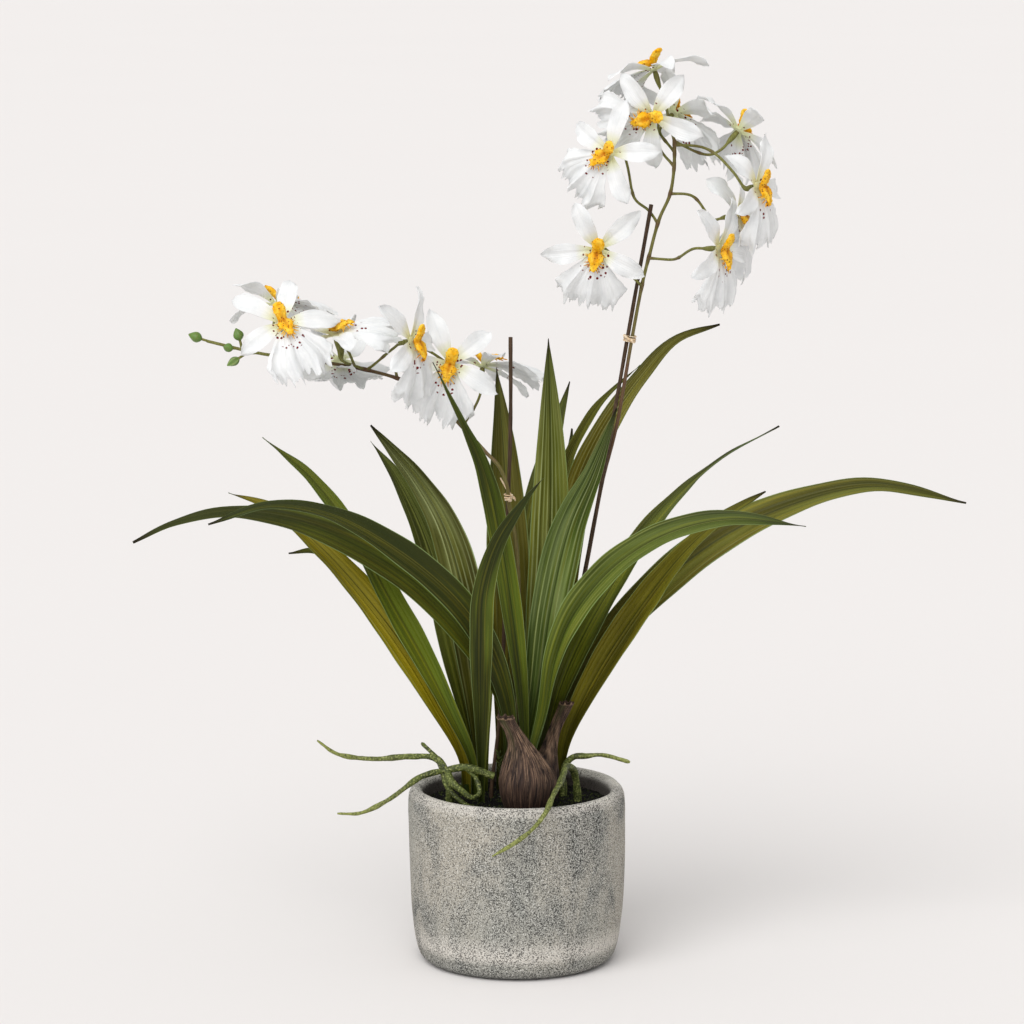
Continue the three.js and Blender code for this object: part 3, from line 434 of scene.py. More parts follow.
# foot on the soil, later midline points, full width, and where the upper side faces, low and high
leafTable = {
    "leaf_front": [
        ((-28, -4), 18, (0.3, -1, 0.1), (0.2, -0.8, 0.55),
         [(-28, -13, 205), (-28, -26, 252), (-26, -38, 297), (-15, -50, 336), (4, -64, 369),
          (20, -76, 391)]),
    ],
    "leaf_pair_left_arching": [
        ((-4, 13), 23, (-0.2, -0.9, 0.4), (0, -0.6, 0.8),
         [(-6, 6, 195), (-22, -10, 248), (-45, -18, 285), (-90, -28, 326), (-142, -35, 356),
          (-188, -41, 364), (-234, -46, 350)]),
        ((-6, 15), 26, (-0.2, -0.9, 0.4), (0, -0.6, 0.8),
         [(-8, 8, 198), (-26, 3, 236), (-68, -1, 288), (-115, -5, 322), (-167, -10, 345),
          (-223, -17, 354), (-262, -23, 347), (-293, -27, 333)]),
    ],
    "leaf_pair_left_outer": [
        ((-40, 25), 27, (0.3, -0.9, 0.2), (0.5, -0.6, 0.6),
         [(-43, 24, 155), (-62, 24, 195), (-86, 24, 238), (-120, 25, 284), (-153, 28, 320),
          (-187, 32, 348), (-224, 36, 361)]),
        ((-42, 28), 17, (0.3, -0.9, 0.2), (0.5, -0.6, 0.6),
         [(-43, 32, 158), (-68, 38, 202), (-100, 46, 249), (-135, 54, 293), (-158, 58, 311),
          (-179, 60, 309)]),
    ],
    "leaf_left_back": [
        ((-34, 13), 22, (0.5, -0.85, 0.1), (0.6, -0.65, 0.5),
         [(-36, 13, 154), (-54, 12, 196), (-72, 12, 233), (-98, 15, 280), (-125, 24, 328),
          (-160, 44, 371), (-199, 66, 400)]),
    ],
    "leaf_pair_left_upright": [
        ((-27, 35), 32, (0.1, -1, 0.1), (0.35, -0.8, 0.45),
         [(-29, 34, 169), (-32, 34, 215), (-41, 37, 276), (-57, 50, 331), (-78, 66, 365),
          (-115, 84, 407)]),
        ((-29, 37), 26, (0.1, -1, 0.1), (0.35, -0.8, 0.45),
         [(-34, 39, 164), (-43, 48, 208), (-59, 68, 278), (-77, 86, 329), (-98, 102, 367),
          (-116, 112, 390)]),
    ],
    "leaf_left_slender": [
        ((7, 18), 17, (0.2, -1, 0.1), (-0.5, -0.85, 0.1),
         [(4, 13, 203), (-3, 6, 268), (-13, -4, 335), (-25, -22, 389), (-46, -50, 440),
          (-63, -68, 477)]),
    ],
    "leaf_centre_left": [
        ((-12, 43), 34, (0, -1, 0.1), (0.1, -0.9, 0.4),
         [(-6, 44, 243), (-8, 47, 330), (-11, 48, 401), (-16, 44, 458)]),
    ],
    "leaf_centre": [
        ((12, 38), 32, (0, -1, 0.1), (0, -1, 0.1),
         [(15, 36, 180), (21, 31, 250), (25, 24, 320), (26, 20, 400), (24, 18, 484)]),
    ],
    "leaf_pair_centre_back": [
        ((1, 56), 27, (0, -1, 0.1), (-0.1, -0.85, 0.5),
         [(3, 60, 208), (8, 72, 286), (18, 91, 352), (32, 112, 403), (42, 126, 436)]),
        ((3, 58), 26, (-0.2, -1, 0.1), (-0.4, -0.7, 0.5),
         [(9, 68, 206), (22, 88, 266), (33, 112, 325), (42, 130, 371), (44, 142, 396)]),
    ],
    "leaf_centre_right": [
        ((3, 29), 31, (-0.2, -1, 0.1), (-0.3, -0.9, 0.3),
         [(17, 20, 208), (27, 10, 279), (41, 3, 341), (59, -3, 384), (76, -10, 434)]),
    ],
    "leaf_right_thin": [
        ((17, 60), 14, (-0.6, -0.8, 0.2), (-0.3, -0.6, 0.7),
         [(23, 58, 200), (28, 53, 289), (37, 47, 375), (57, 42, 420), (73, 36, 441),
          (95, 29, 462)]),
    ],
    "leaf_right_high": [
        ((29, 54), 26, (-0.4, -0.9, 0.2), (-0.1, -0.6, 0.8),
         [(30, 61, 199), (36, 66, 271), (47, 70, 350), (68, 72, 402), (98, 76, 447),
          (125, 81, 475), (159, 90, 486)]),
    ],
    "leaf_right_middle": [
        ((22, 31), 26, (-0.3, -0.95, 0.1), (-0.85, -0.25, 0.5),
         [(27, 29, 182), (45, 23, 236), (80, 22, 300), (117, 32, 350), (158, 49, 385),
          (205, 64, 409)]),
    ],
    "leaf_right_front": [
        ((5, 3), 30, (-0.8, -0.4, 0.3), (0.1, -0.6, 0.8),
         [(22, 0, 192), (30, -8, 239), (44, -19, 276), (74, -31, 315), (114, -45, 343),
          (160, -57, 356), (217, -71, 353)]),
    ],
    "leaf_pair_right_long": [
        ((34, 34), 24, (-0.4, -0.9, 0.1), (-0.1, -0.6, 0.8),
         [(39, 32, 167), (62, 27, 219), (99, 17, 279), (132, 4, 323), (160, -5, 350),
          (190, -12, 370)]),
        ((36, 38), 32, (-0.4, -0.9, 0.1), (-0.1, -0.5, 0.87),
         [(39, 50, 183), (63, 51, 231), (110, 54, 283), (160, 58, 322), (214, 62, 347),
          (278, 67, 361), (353, 74, 347)]),
    ],
}

# how olive, how strongly pleated and how fresh a green each blade is, where it isn't the usual amount; fresh
# is partly the blade's own green and partly painted light and shade
bladeTraits = {
    "leaf_front": ((0.04, 0.0, 0.1),),
    "leaf_pair_left_arching": ((0.04, 0.0, -0.2), (0.08, 0.0, 0.1)),
    "leaf_pair_left_outer": ((1.0, 0.3, 0.9), (0.3, 0.1, 0.7)),
    "leaf_left_back": ((0.12, 0.0, 1.6),),
    "leaf_pair_left_upright": ((0.2, 1.0, 0.25), (0.15, 0.3, 0.6)),
    "leaf_left_slender": ((0.05, 0.0, 0.5),),
    "leaf_centre_left": ((0.25, 0.3, -0.4),),
    "leaf_centre": ((0.22, 0.9, 0.85),),
    "leaf_centre_right": ((0.0, 0.9, 0.8),),
    "leaf_right_thin": ((0.2, 0.1, 0.1),),
    "leaf_right_high": ((0.45, 0.5, 0.1),),
    "leaf_right_middle": ((0.1, 0.1, 0.4),),
    "leaf_right_front": ((0.05, 0.3, 0.55),),
    "leaf_pair_right_long": ((0.35, 0.1, 0.15), (0.22, 0.25, 0.0)),
}
usualTraits = ((0.15, 0.3, 0.4), (0.15, 0.3, 0.4))


def leafShape(s):
    footShare = leafBlade["footShare"]
    swell = footShare + (1 - footShare) * smooth(s, 0.02, 0.5)
    taper = 1 - np.maximum((s - 0.6) / 0.4, 0) ** 1.5
    return np.maximum(swell * taper, 0.02)


def addBlade(skin, foot, width, faceLow, faceHigh, path, olive, ribbed, fresh, seed):
    look = leafBlade
    curve = rooted(foot, look["footZ"], path)
    s = np.linspace(0, 1, look["rows"])
    t = np.linspace(-1, 1, look["columns"])
    heading = curve.heading(s)
    turn = smooth(s, 0.1, 0.9)[:, None]
    face = np.array(faceLow) * (1 - turn) + np.array(faceHigh) * turn
    across = unit(np.cross(heading, face))
    up = unit(np.cross(across, heading))
    phase = [math.pi * draw(seed + k / 10) for k in range(6)]
    half = width / 2 * leafShape(s) * (1 + look["wander"] * np.sin(11 * s + phase[0]))
    fold = look["footFold"] + (look["fold"] - look["footFold"]) * smooth(s, 0, 0.45)
    side, row = np.meshgrid(t, s)
    soft = 0.02
    channel = (np.sqrt(side**2 + soft) - math.sqrt(soft)) / (math.sqrt(1 + soft) - math.sqrt(soft))
    count = 2 * math.pi * look["pleats"]
    pleat = np.cos(count * side + 0.6 * phase[1]) + 0.5 * np.cos(1.7 * count * side + phase[2])
    pleat *= smooth(row, 0.05, 0.3) * (1 - smooth(row, 0.75, 0.98)) * (1 - side**6)
    pleat *= look["pleatHeight"] * (0.3 + 0.7 * ribbed)
    edge = np.abs(side) ** 3
    wave = edge * np.sin(2 * math.pi * 2.4 * row + phase[3] + 1.3 * np.sign(side))
    wave += 0.3 * edge * np.sin(2 * math.pi * 9 * row + phase[4] + 2.1 * np.sign(side))
    wave *= look["ripple"] * smooth(row, 0.2, 0.5)
    lift = channel * (half * np.sin(fold))[:, None] + pleat + wave
    reach = side * (half * np.cos(fold))[:, None]
    middle = curve.at(s)[:, None] + across[:, None] * reach[..., None] + up[:, None] * lift[..., None]
    thick = look["edgeThickness"] + (look["middleThickness"] - look["edgeThickness"]) * (1 - side**2)
    thick *= 1 - 0.5 * row
    offset = up[:, None] * thick[..., None] / 2
    flat = np.stack([(side.ravel() + 1) / 2, row.ravel()], axis=1)
    skin.add(
        [middle + offset, middle - offset], sheetFaces(*side.shape), uv=np.tile(flat, (2, 1)), tone=olive,
        mark=draw(seed), ribbed=ribbed, fresh=fresh, below=np.repeat((0.0, 1.0), side.size),
    )


def addSheath(skin, middle):
    look = leafBlade
    rings, sides = 10, 24
    share = np.arange(rings) / (rings - 1)
    levels = np.linspace(look["footZ"], look["sheathTop"] - 6, rings)
    points = turnedPoints(look["sheathRadius"] * (1 - 0.25 * share**2), levels, sides) + [*middle, 0]
    flat = [(a / sides, 0.02 * k) for k in range(rings) for a in range(sides)]
    skin.add(points, tubeFaces(rings, sides), uv=flat, tone=0, mark=0, ribbed=0, fresh=0, below=0)


leafMaterial = makeLeafMaterial()
for order, (node, blades) in enumerate(leafTable.items()):
    skin = Skin()
    for k, blade in enumerate(blades):
        addBlade(skin, *blade, *bladeTraits.get(node, usualTraits)[k], 3 * order + k)
    if len(blades) > 1:
        addSheath(skin, np.mean([blade[0] for blade in blades], axis=0))
    finishMesh("strap_" + node, skin.build("strapLeaves", leafMaterial), [node])
print("leaves done")


def makeRodTree():
    rods = Growth("sweptRods", Sides=12, Flatness=1.0, Grain=0.0, GrainSize=300.0)
    given = rods.given
    curve = rods.node("GeometryNodeMeshToCurve", {"Mesh": given})
    level = rods.node("GeometryNodeSetCurveNormal", {"Curve": curve}, mode="MINIMUM_TWIST")
    loop = {"Resolution": given.out("Sides"), "Radius": 1.0}
    outline = rods.node("GeometryNodeCurvePrimitiveCircle", loop)
    squeeze = rods.node("ShaderNodeCombineXYZ", {"X": given.out("Flatness"), "Y": 1.0, "Z": 1.0})
    ring = rods.node("GeometryNodeTransform", {"Geometry": outline, "Scale": squeeze})
    sweep = {"Curve": level, "Profile Curve": ring, "Scale": rods.named("radius"), "Fill Caps": True}
    tube = rods.node("GeometryNodeCurveToMesh", sweep)
    place = rods.node("GeometryNodeInputPosition")
    rough = rods.noise(given.out("GrainSize"), 3.0, over=place) - 0.5
    rods.close(rods.moved(tube, rods.node("GeometryNodeInputNormal"), rough * given.out("Grain")))
    return rods


rodTree = makeRodTree()


# Edge chains with a radius and named values at each point, swept into one finished piece.
def finishRods(
    name, chains, nodes, material, angle=60, sides=14, flatness=1.0, grain=0.0, grainSize=300.0,
):
    skin = Skin()
    edges = []
    for chain in chains:
        points = chain["points"]
        edges += [(skin.count + i, skin.count + i + 1) for i in range(len(points) - 1)]
        values = {key: value for key, value in chain.items() if key != "points"}
        values["radius"] = np.asarray(values["radius"], float) * millimetre
        skin.add(points, [], **values)
    mesh = rodTree.grow(
        skin.build(name, edges=edges), Sides=sides, Flatness=flatness, Grain=grain * millimetre,
        GrainSize=grainSize, Material=material,
    )
    finishMesh(name, mesh, nodes, angle)


stemColour = {
    "green": (0.38, 0.385, 0.16),
    "pale": (0.51, 0.50, 0.28),
    "brown": (0.36, 0.25, 0.19),
    "cane": (0.37, 0.285, 0.215),
    "caneDark": (0.18, 0.135, 0.095),
    "bud": (0.36, 0.50, 0.20),
    "budPale": (0.62, 0.72, 0.45),
}


def makeStemMaterial():
    paint = Paint("stemGreen", stemColour, "green", Roughness=0.5, Specular_IOR_Level=0.25)
    fine = paint.noise((900, 900, 60), 3.0)
    patch = paint.noise(55, 3.0, 0.6)
    paint.lay("pale", fine.remap(0.35, 0.7))
    wish = paint.value("brown") + patch.remap(0.52, 0.75, 0.0, 0.55)
    paint.lay("brown", wish.calc("MINIMUM", 0.92))
    return paint.finish((fine, 0.0004, 0.6))


def makeCaneMaterial():
    paint = Paint("caneBrown", stemColour, "caneDark", Roughness=0.62, Specular_IOR_Level=0.2)
    grain = paint.noise((1400, 1400, 45), 4.0, 0.6)
    paint.lay("cane", grain.remap(0.35, 0.68))
    paint.lay("caneDark", paint.noise(40).remap(0.45, 0.8, 0.0, 0.5))
    return paint.finish((grain, 0.0005, 0.7))


def makeBudMaterial():
    paint = Paint(
        "budGreen", stemColour, "bud", Roughness=0.45, Subsurface_Weight=0.1, Subsurface_Scale=0.002,
    )
    fine = paint.noise(420, 3.0)
    paint.lay("green", fine.remap(0.35, 0.7, 0.0, 0.5))
    paint.lay("budPale", paint.value("ridge").remap(0.4, 1.0, 0.0, 0.7))
    return paint.finish((fine, 0.0003, 0.5))


bloom = {
    "petals": 5,
    "petalLength": 40.0,
    "petalWidth": 16.0,
    "petalStations": (-0.1, 0.0, 0.27, 0.55, 0.82, 0.95, 1.0),
    "petalWidths": (0.24, 0.30, 0.74, 1.0, 0.72, 0.30, 0.03),
    "petalFold": 0.2,
    "petalSlopes": (20, -30),
    "petalSlopeSpreads": (10, 16),
    "petalTwistSpread": 22,
    "petalLengthSpread": 0.07,
    "lowerPetal": 2,
    "lowerPetalSlopes": (-16, -50),
    "lowerPetalDrop": 1.5,
    "petalThickness": 0.55,
    "petalRows": 24,
    "petalColumns": 13,
    "petalWave": 1.7,
    "hubRadius": 4.2,
    "hubThickness": 2.4,
    "hubBulge": (4.3, 1.15),
    "lipLength": 50.0,
    "lipSlopes": (14, -34),
    "lipSlopeSpread": 8,
    "lipRuffle": 3.4,
    "lipCurl": 7.0,
    "lipNotch": 0.12,
    "lipNotchWidth": 0.15,
    "lipShoulder": 0.2,
    "lipStations": (0, 0.28, 0.52, 0.78, 1),
    "lipHalfWidths": (3, 10, 19, 27, 25),
    "lipRows": 36,
    "lipColumns": 57,
    "lipThickness": 0.5,
    "lipRagged": 0.055,
    "lipPleat": 1.5,
    "lipTeeth": ((1.0, 25), (0.7, 43), (0.5, 71)),
}

# centre, facing, upper side, joint on the stem, stalk points on the way, seed, and stalk extras
rightFlowers = {
    "top": ((104, 14, 690), (-0.3, 0.15, 0.94), (0.75, -0.6, 0.3), (116, -1, 636), (), 20, {}),
    "crown": ((102, -10, 656), (-0.25, -0.95, -0.1), (0.95, -0.2, 0.3), (119, 2, 618),
              ((108, 4, 632),), 22, {}),
    "crown_back": ((119, 26, 656), (0.5, 0.6, 0.6), (-0.5, 0, 0.8), (119, 0, 628), (), 31, {}),
    "left_high": ((70, -14, 629), (-0.5, -0.85, 0.1), (0.83, 0, 0.55), (106, 4, 574),
                  ((100, 13, 583), (90, 13, 592)), 4, {}),
    "left_low": ((61, -16, 556), (-0.1, -0.98, -0.1), (0.2, 0, 0.97), (95, 10, 525),
                 ((92, 5, 529),), 5, {}),
    "back": ((168, 10, 644), (0.62, 0.42, 0.66), (-0.2, -0.73, 0.65), (121, 0, 636),
             ((145, 0, 626),), 42, {}),
    "outer_high": ((180, -30, 605), (0.8, -0.55, 0.2), (-0.3, 0, 0.95), (121, 0, 634),
                   ((142, -6, 632), (162, -18, 616)), 22, {"lead": 10}),
    "outer_middle": ((167, -4, 581), (0.9, -0.4, 0.2), (-0.2, 0, 1), (117, 3, 596),
                     ((133, 4, 595),), 20, {}),
    "outer_low": ((151, -48, 560), (0.8, -0.58, 0.05), (-0.2, 0, 1), (101, 7, 546),
                  ((118, -2, 547),), 9, {}),
}
leftFlowers = {
    "tip_front": ((-177, -40, 503), (0.1, -0.78, 0.62), (-0.45, 0.5, 0.7), (-159, -6, 470), (), 49, {}),
    "tip_back": ((-184, 20, 510), (0.1, 0.45, 0.9), (-1, 0, 0.1), (-165, -6, 471), (), 42, {}),
    "high": ((-138, -20, 492), (-0.2, -0.3, 0.93), (-1, 0, -0.2), (-115, -2, 461), (), 22, {}),
    "low_back": ((-136, 30, 466), (-0.1, 0.5, -0.85), (-0.2, 0.9, 0.4), (-124, 4, 462), (), 28, {}),
    "middle": ((-80, -30, 488), (0.85, -0.48, 0.2), (-0.35, 0, 0.92), (-114, 6, 460),
               ((-100, -4, 474),), 33, {"lead": 10}),
    "front": ((-51, 8, 466), (0, -0.97, 0.2), (0.25, 0, 0.97), (-93, 18, 453),
              ((-94, 22, 468), (-80, 30, 477)), 26, {}),
    "back": ((-27, 62, 457), (0.05, 0.3, 0.95), (-1, 0, 0.1), (-40, 20, 416), (), 27, {}),
}

stemSize = {
    "footZ": 96.0,
    "radius": 1.7,
    "tipRadius": 1.2,
    "branchRadius": 1.05,
    "ovaryRadius": 2.2,
    "ovaryLength": 13.0,
    "lead": 21.0,
    "nodeSwell": 0.45,
    "nodeReach": 3.0,
    "rows": 150,
    "stalkRows": (22, 12),
    "twigRows": 10,
    "twigRadius": 1.0,
}

rightStem = rooted((22, 44), stemSize["footZ"], [
    (27, 43.5, 150), (41.3, 42.2, 237), (54.5, 36, 306), (66.8, 30.8, 374), (73.8, 27.2, 402),
    (78, 22.4, 422), (82.2, 17.2, 448), (88.1, 13.8, 485), (96.2, 9.4, 530), (101.5, 7, 552),
    (108, 4, 577), (116, 2, 596), (119, 0, 618), (119, -1, 638),
])
leftStem = rooted((-7, 32), stemSize["footZ"], [
    (-2, 29, 162), (2, 26, 239), (1, 21, 298), (-2, 15.5, 334), (-6.4, 12.4, 356),
    (-7.4, 12, 369), (-14, 11, 386), (-23, 15, 395), (-44, 21, 417), (-78, 23, 446),
    (-115, 8, 461), (-159, -4, 470), (-197, -8, 476), (-236, -10, 485.5),
])
# path of the twig, radius, length and how ridged each bud is
leftBuds = [
    (((-232, -10, 484), (-240, -10, 487)), 4.2, 11, 0.0),
    (((-197, -8, 476), (-208, -8, 477), (-211, -8, 486)), 4.3, 10, 0.1),
    (((-204, -8, 477), (-212, -8, 472)), 3.6, 11, 1.0),
    (((-214, -8, 479), (-217, -11, 480)), 3.6, 9, 0.0),
]
budLook = {"rings": 18, "sides": 24, "footRadius": 0.5, "ridgeDepth": 0.16, "plainDepth": 0.08}


def stalkChain(stem, flower):
    at, face, _, joint, via, _, extras = flower
    size = stemSize
    centre = np.array(at, float)
    back = -unit(face)
    lead = extras.get("lead", size["lead"])
    start = stem.at(stem.shareNear(joint))
    end = centre + back * (bloom["hubThickness"] / 2 + 0.3)
    curve = PlantCurve([start, *via, centre + back * lead, centre + back * lead / 2, end])
    swell = 1 - size["ovaryLength"] / curve.length
    lower, upper = size["stalkRows"]
    s = np.concatenate([np.linspace(0, swell, lower, endpoint=False), np.linspace(swell, 1, upper)])
    ovary = np.clip((s - swell) / (1 - swell), 0, 1)
    widen = size["ovaryRadius"] - size["branchRadius"]
    radius = size["branchRadius"] + widen * np.sin(ovary * 0.8 * math.pi)
    knee = np.exp(-(((s - 0.45 * swell) * curve.length / 2.2) ** 2))
    foot = np.exp(-((s * curve.length / 3.0) ** 2))
    radius += 0.35 * knee + 0.35 * foot
    points = curve.at(s)
    wobble = np.stack([np.sin(s * curve.length / 7 + at[k]) for k in range(3)], axis=1)
    points += 0.35 * wobble * np.sin(math.pi * s)[:, None]
    brown = np.clip(0.75 * foot + 0.5 * knee + 0.25 * (ovary > 0.9), 0, 1)
    return {"points": points, "radius": radius, "brown": brown}


def stemChain(stem, joints, brownAt):
    size = stemSize
    s = np.linspace(0, 1, size["rows"])
    points = stem.at(s)
    radius = size["radius"] + (size["tipRadius"] - size["radius"]) * s
    near = np.zeros(len(s))
    for joint in joints:
        distance = np.abs(s - stem.shareNear(joint)) * stem.length
        near = np.maximum(near, np.exp(-((distance / size["nodeReach"]) ** 2)))
    radius += size["nodeSwell"] * near
    return {"points": points, "radius": radius, "brown": np.clip(brownAt(points) + 0.7 * near, 0, 1)}


def twigChain(stem, path):
    twig = PlantCurve([stem.at(stem.shareNear(path[0])), *path[1:]])
    s = np.linspace(0, 1, stemSize["twigRows"])
    return {"points": twig.at(s), "radius": np.full(len(s), stemSize["twigRadius"]), "brown": 0.0}


def addBud(skin, path, radius, length, ridged):
    look = budLook
    points = np.array(path, float)
    along = unit(points[-1] - points[-2])
    side = unit(np.cross(along, (0.3, 1.0, 0.2)))
    rise = np.cross(along, side)
    angle, ring = circle(look["sides"])
    rings, lobes = [], []
    for s in np.linspace(0, 1, look["rings"]):
        lobe = 0.5 + 0.5 * np.cos((5 if ridged else 3) * angle + 1.5 * s)
        size = look["footRadius"] + (radius - look["footRadius"]) * math.sin(math.pi * s**0.8)
        wide = size * (1 - look["ridgeDepth" if ridged else "plainDepth"] * (1 - lobe))
        centre = points[-1] + along * (length * s - 0.5)
        rings.append(centre + (ring * wide[:, None]) @ [side, rise])
        lobes.append(lobe * (0.4 + 0.6 * ridged))
    skin.add(np.concatenate(rings), tubeFaces(look["rings"], look["sides"]), ridge=np.concatenate(lobes))


def makeBuds():
    skin = Skin()
    for bud in leftBuds:
        addBud(skin, *bud)
    finishMesh("buds_left", skin.build("buds", makeBudMaterial()), ["stem_left"], 50)


def rightBrown(points):
    return 0.75 * (1 - smooth(points[:, 2], 430, 540)) + 0.15


def leftBrown(points):
    across = points[:, 0]
    return 0.4 + 0.35 * smooth(across, -45, -80) - 0.75 * smooth(across, -160, -190)


stemMaterial = makeStemMaterial()
for name, stem, flowers, brownAt, twigs in (
    ("stem_right", rightStem, rightFlowers, rightBrown, []),
    ("stem_left", leftStem, leftFlowers, leftBrown, [bud[0] for bud in leftBuds]),
):
    chains = [stemChain(stem, [flower[3] for flower in flowers.values()], brownAt)]
    chains += [stalkChain(stem, flower) for flower in flowers.values()]
    chains += [twigChain(stem, path) for path in twigs]
    finishRods("flower_" + name, chains, [name], stemMaterial, grain=0.25, grainSize=260)
makeBuds()
print("stems done")

caneSize = {"radius": 1.5, "footZ": 40.0, "rows": 120}
canes = {
    "stake_right": ((14, 48), [(19, 46.5, 155), (40, 38, 236), (66, 26.5, 374), (78.6, 18.4, 448),
                               (84.6, 14.2, 485), (102, 6, 588)]),
    "stake_left": ((-20, 11), [(-13, 14, 195), (-7, 16.2, 353), (-5, 17, 422), (-5, 18, 485)]),
}
caneMaterial = makeCaneMaterial()
caneCurves = {}
for name, (foot, path) in canes.items():
    curve = rooted(foot, caneSize["footZ"], path)
    caneCurves[name] = curve
    s = np.linspace(0, 1, caneSize["rows"])
    radius = caneSize["radius"] * (1 + 0.04 * np.sin(40 * s) + 0.03 * np.sin(97 * s))
    chains = [{"points": curve.at(s), "radius": radius}]
    finishRods("cane_" + name[6:], chains, [name], caneMaterial, sides=16, grain=0.2)
print("canes done")


petalColour = {
    "white": (0.90, 0.905, 0.905),
    "grey": (0.84, 0.85, 0.855),
    "heart": (0.85, 0.87, 0.61),
    "spot": (0.40, 0.05, 0.06),
    "gold": (0.95, 0.69, 0.01),
    "goldPale": (1.0, 0.84, 0.30),
    "goldDeep": (0.72, 0.41, 0.0),
    "speck": (0.50, 0.19, 0.04),
}


def makePetalMaterial():
    paint = Paint(
        "petalWhite", petalColour, "white", Subsurface_Weight=0.3, Subsurface_Scale=0.002,
        Subsurface_Radius=(1.0, 1.0, 0.95), Specular_IOR_Level=0.15,
    )
    heart, tone = paint.value("heart"), paint.value("tone")
    soft = paint.noise(90, 3.0)
    spread = paint.node("ShaderNodeCombineXYZ", {"X": paint.value("fan"), "Y": heart})
    veins = paint.noise(1.0, 3.0, over=spread)
    # Painted shade: soft grey patches over the petals; the grey along the veins is the petal's own.
    paint.lay("grey", soft.remap(0.4, 0.8))
    paint.lay("grey", veins.remap(0.5, 0.75, 0.0, 0.5))
    paint.lay("heart", heart.remap(0.34, 0.06, 0.0, 0.8))
    distance, rank = paint.cells(36.0, 0.8, over=paint.shifted(paint.surface(), tone, tone))
    size = rank.remap(0.3, 1.0, 0.22, 0.45) * rank.calc("GREATER_THAN", 0.3)
    paint.lay("spot", distance.calc("LESS_THAN", size) * paint.value("speckled").calc("GREATER_THAN", 0.5))
    bumps = ((veins, 0.0009, 0.6), (soft, 0.0008, 0.35))
    return paint.finish(*bumps, roughness=paint.value("lip").remap(0.0, 1.0, 0.5, 0.6))


def makeCallusMaterial():
    paint = Paint(
        "callusGold", petalColour, "gold", Roughness=0.5, Subsurface_Weight=0.08,
        Subsurface_Scale=0.0015, Specular_IOR_Level=0.15,
    )
    grain = paint.noise(520, 3.0, 0.6)
    paint.lay("goldPale", paint.noise(210).remap(0.35, 0.7))
    deep = grain.remap(0.52, 0.72, 0.0, 0.75)
    paint.lay("goldDeep", (paint.value("shadow") * 0.9).calc("MAXIMUM", deep))
    distance, rank = paint.cells(560.0)
    paint.lay("speck", distance.calc("LESS_THAN", rank.remap(0.3, 1.0, 0.0, 0.42)) * 0.75)
    return paint.finish((grain, 0.0012, 0.9))


# Moves a sheet's points along its own upper side by noise, more where its frill value is high.
def makeFrillTree():
    sheets = Growth("frilledEdges", Height=0.002, Size=160.0, Seed=0.0)
    given = sheets.given
    middle = sheets.named("middle", "FLOAT_VECTOR")
    values = {"Vector": middle, "W": given.out("Seed"), "Scale": given.out("Size"), "Detail": 2.0}
    wild = sheets.node("ShaderNodeTexNoise", values, "Fac", noise_dimensions="4D")
    amount = (wild - 0.5) * sheets.named("frill") * given.out("Height")
    sheets.close(sheets.moved(given, sheets.named("lift", "FLOAT_VECTOR"), amount))
    return sheets


# Midline that leaves the hub at one slope and ends at another.
def spine(direction, start, length, first, last, s):
    slope = first + (last - first) * s
    out = start + length * (np.sin(slope) - math.sin(first)) / (last - first)
    height = length * (math.cos(first) - np.cos(slope)) / (last - first)
    level = np.array([*direction, 0.0])
    up = np.array([0.0, 0.0, 1.0])
    centre = level * out[..., None] + up * height[..., None]
    along = level * np.cos(slope)[..., None] + up * np.sin(slope)[..., None]
    face = up * np.cos(slope)[..., None] - level * np.sin(slope)[..., None]
    return centre, along, face


# Adds points of the flower's own frame, each moved along its lift, and what the frill tree reads.
def addLocal(skin, place, middle, lift, faces, offset=0.0, **values):
    origin, turn = place
    world = middle @ turn + origin
    raised = lift @ turn
    skin.add(world + raised * offset, faces, lift=raised, middle=world * millimetre, **values)


# Share of redness round the callus, from how far a point is from the line down its middle.
def speckleZone(middle):
    x, y = middle[..., 0], middle[..., 1]
    away = np.hypot(x, y - np.clip(y, -15, 4))
    return smooth(away, 3.6, 4.6) * (1 - smooth(away, 8.8, 12)) * (1 - smooth(y, 5, 10))


# One petal or lip with its material values, all given on a grid of rows and columns.
def addSheet(skin, place, middle, lift, thick, flipped=False, **grids):
    half = thick.reshape(-1, 1) / 2
    values = {name: np.broadcast_to(grid, thick.shape).ravel() for name, grid in grids.items()}
    values["speckled"] = speckleZone(middle).ravel()
    values["uv"] = middle[..., :2].reshape(-1, 2) / 100
    values = {name: np.concatenate([value, value]) for name, value in values.items()}
    middle, lift = (np.tile(grid.reshape(-1, 3), (2, 1)) for grid in (middle, lift))
    offset = np.concatenate([half, -half])
    addLocal(skin, place, middle, lift, sheetFaces(*thick.shape, flipped), offset, **values)


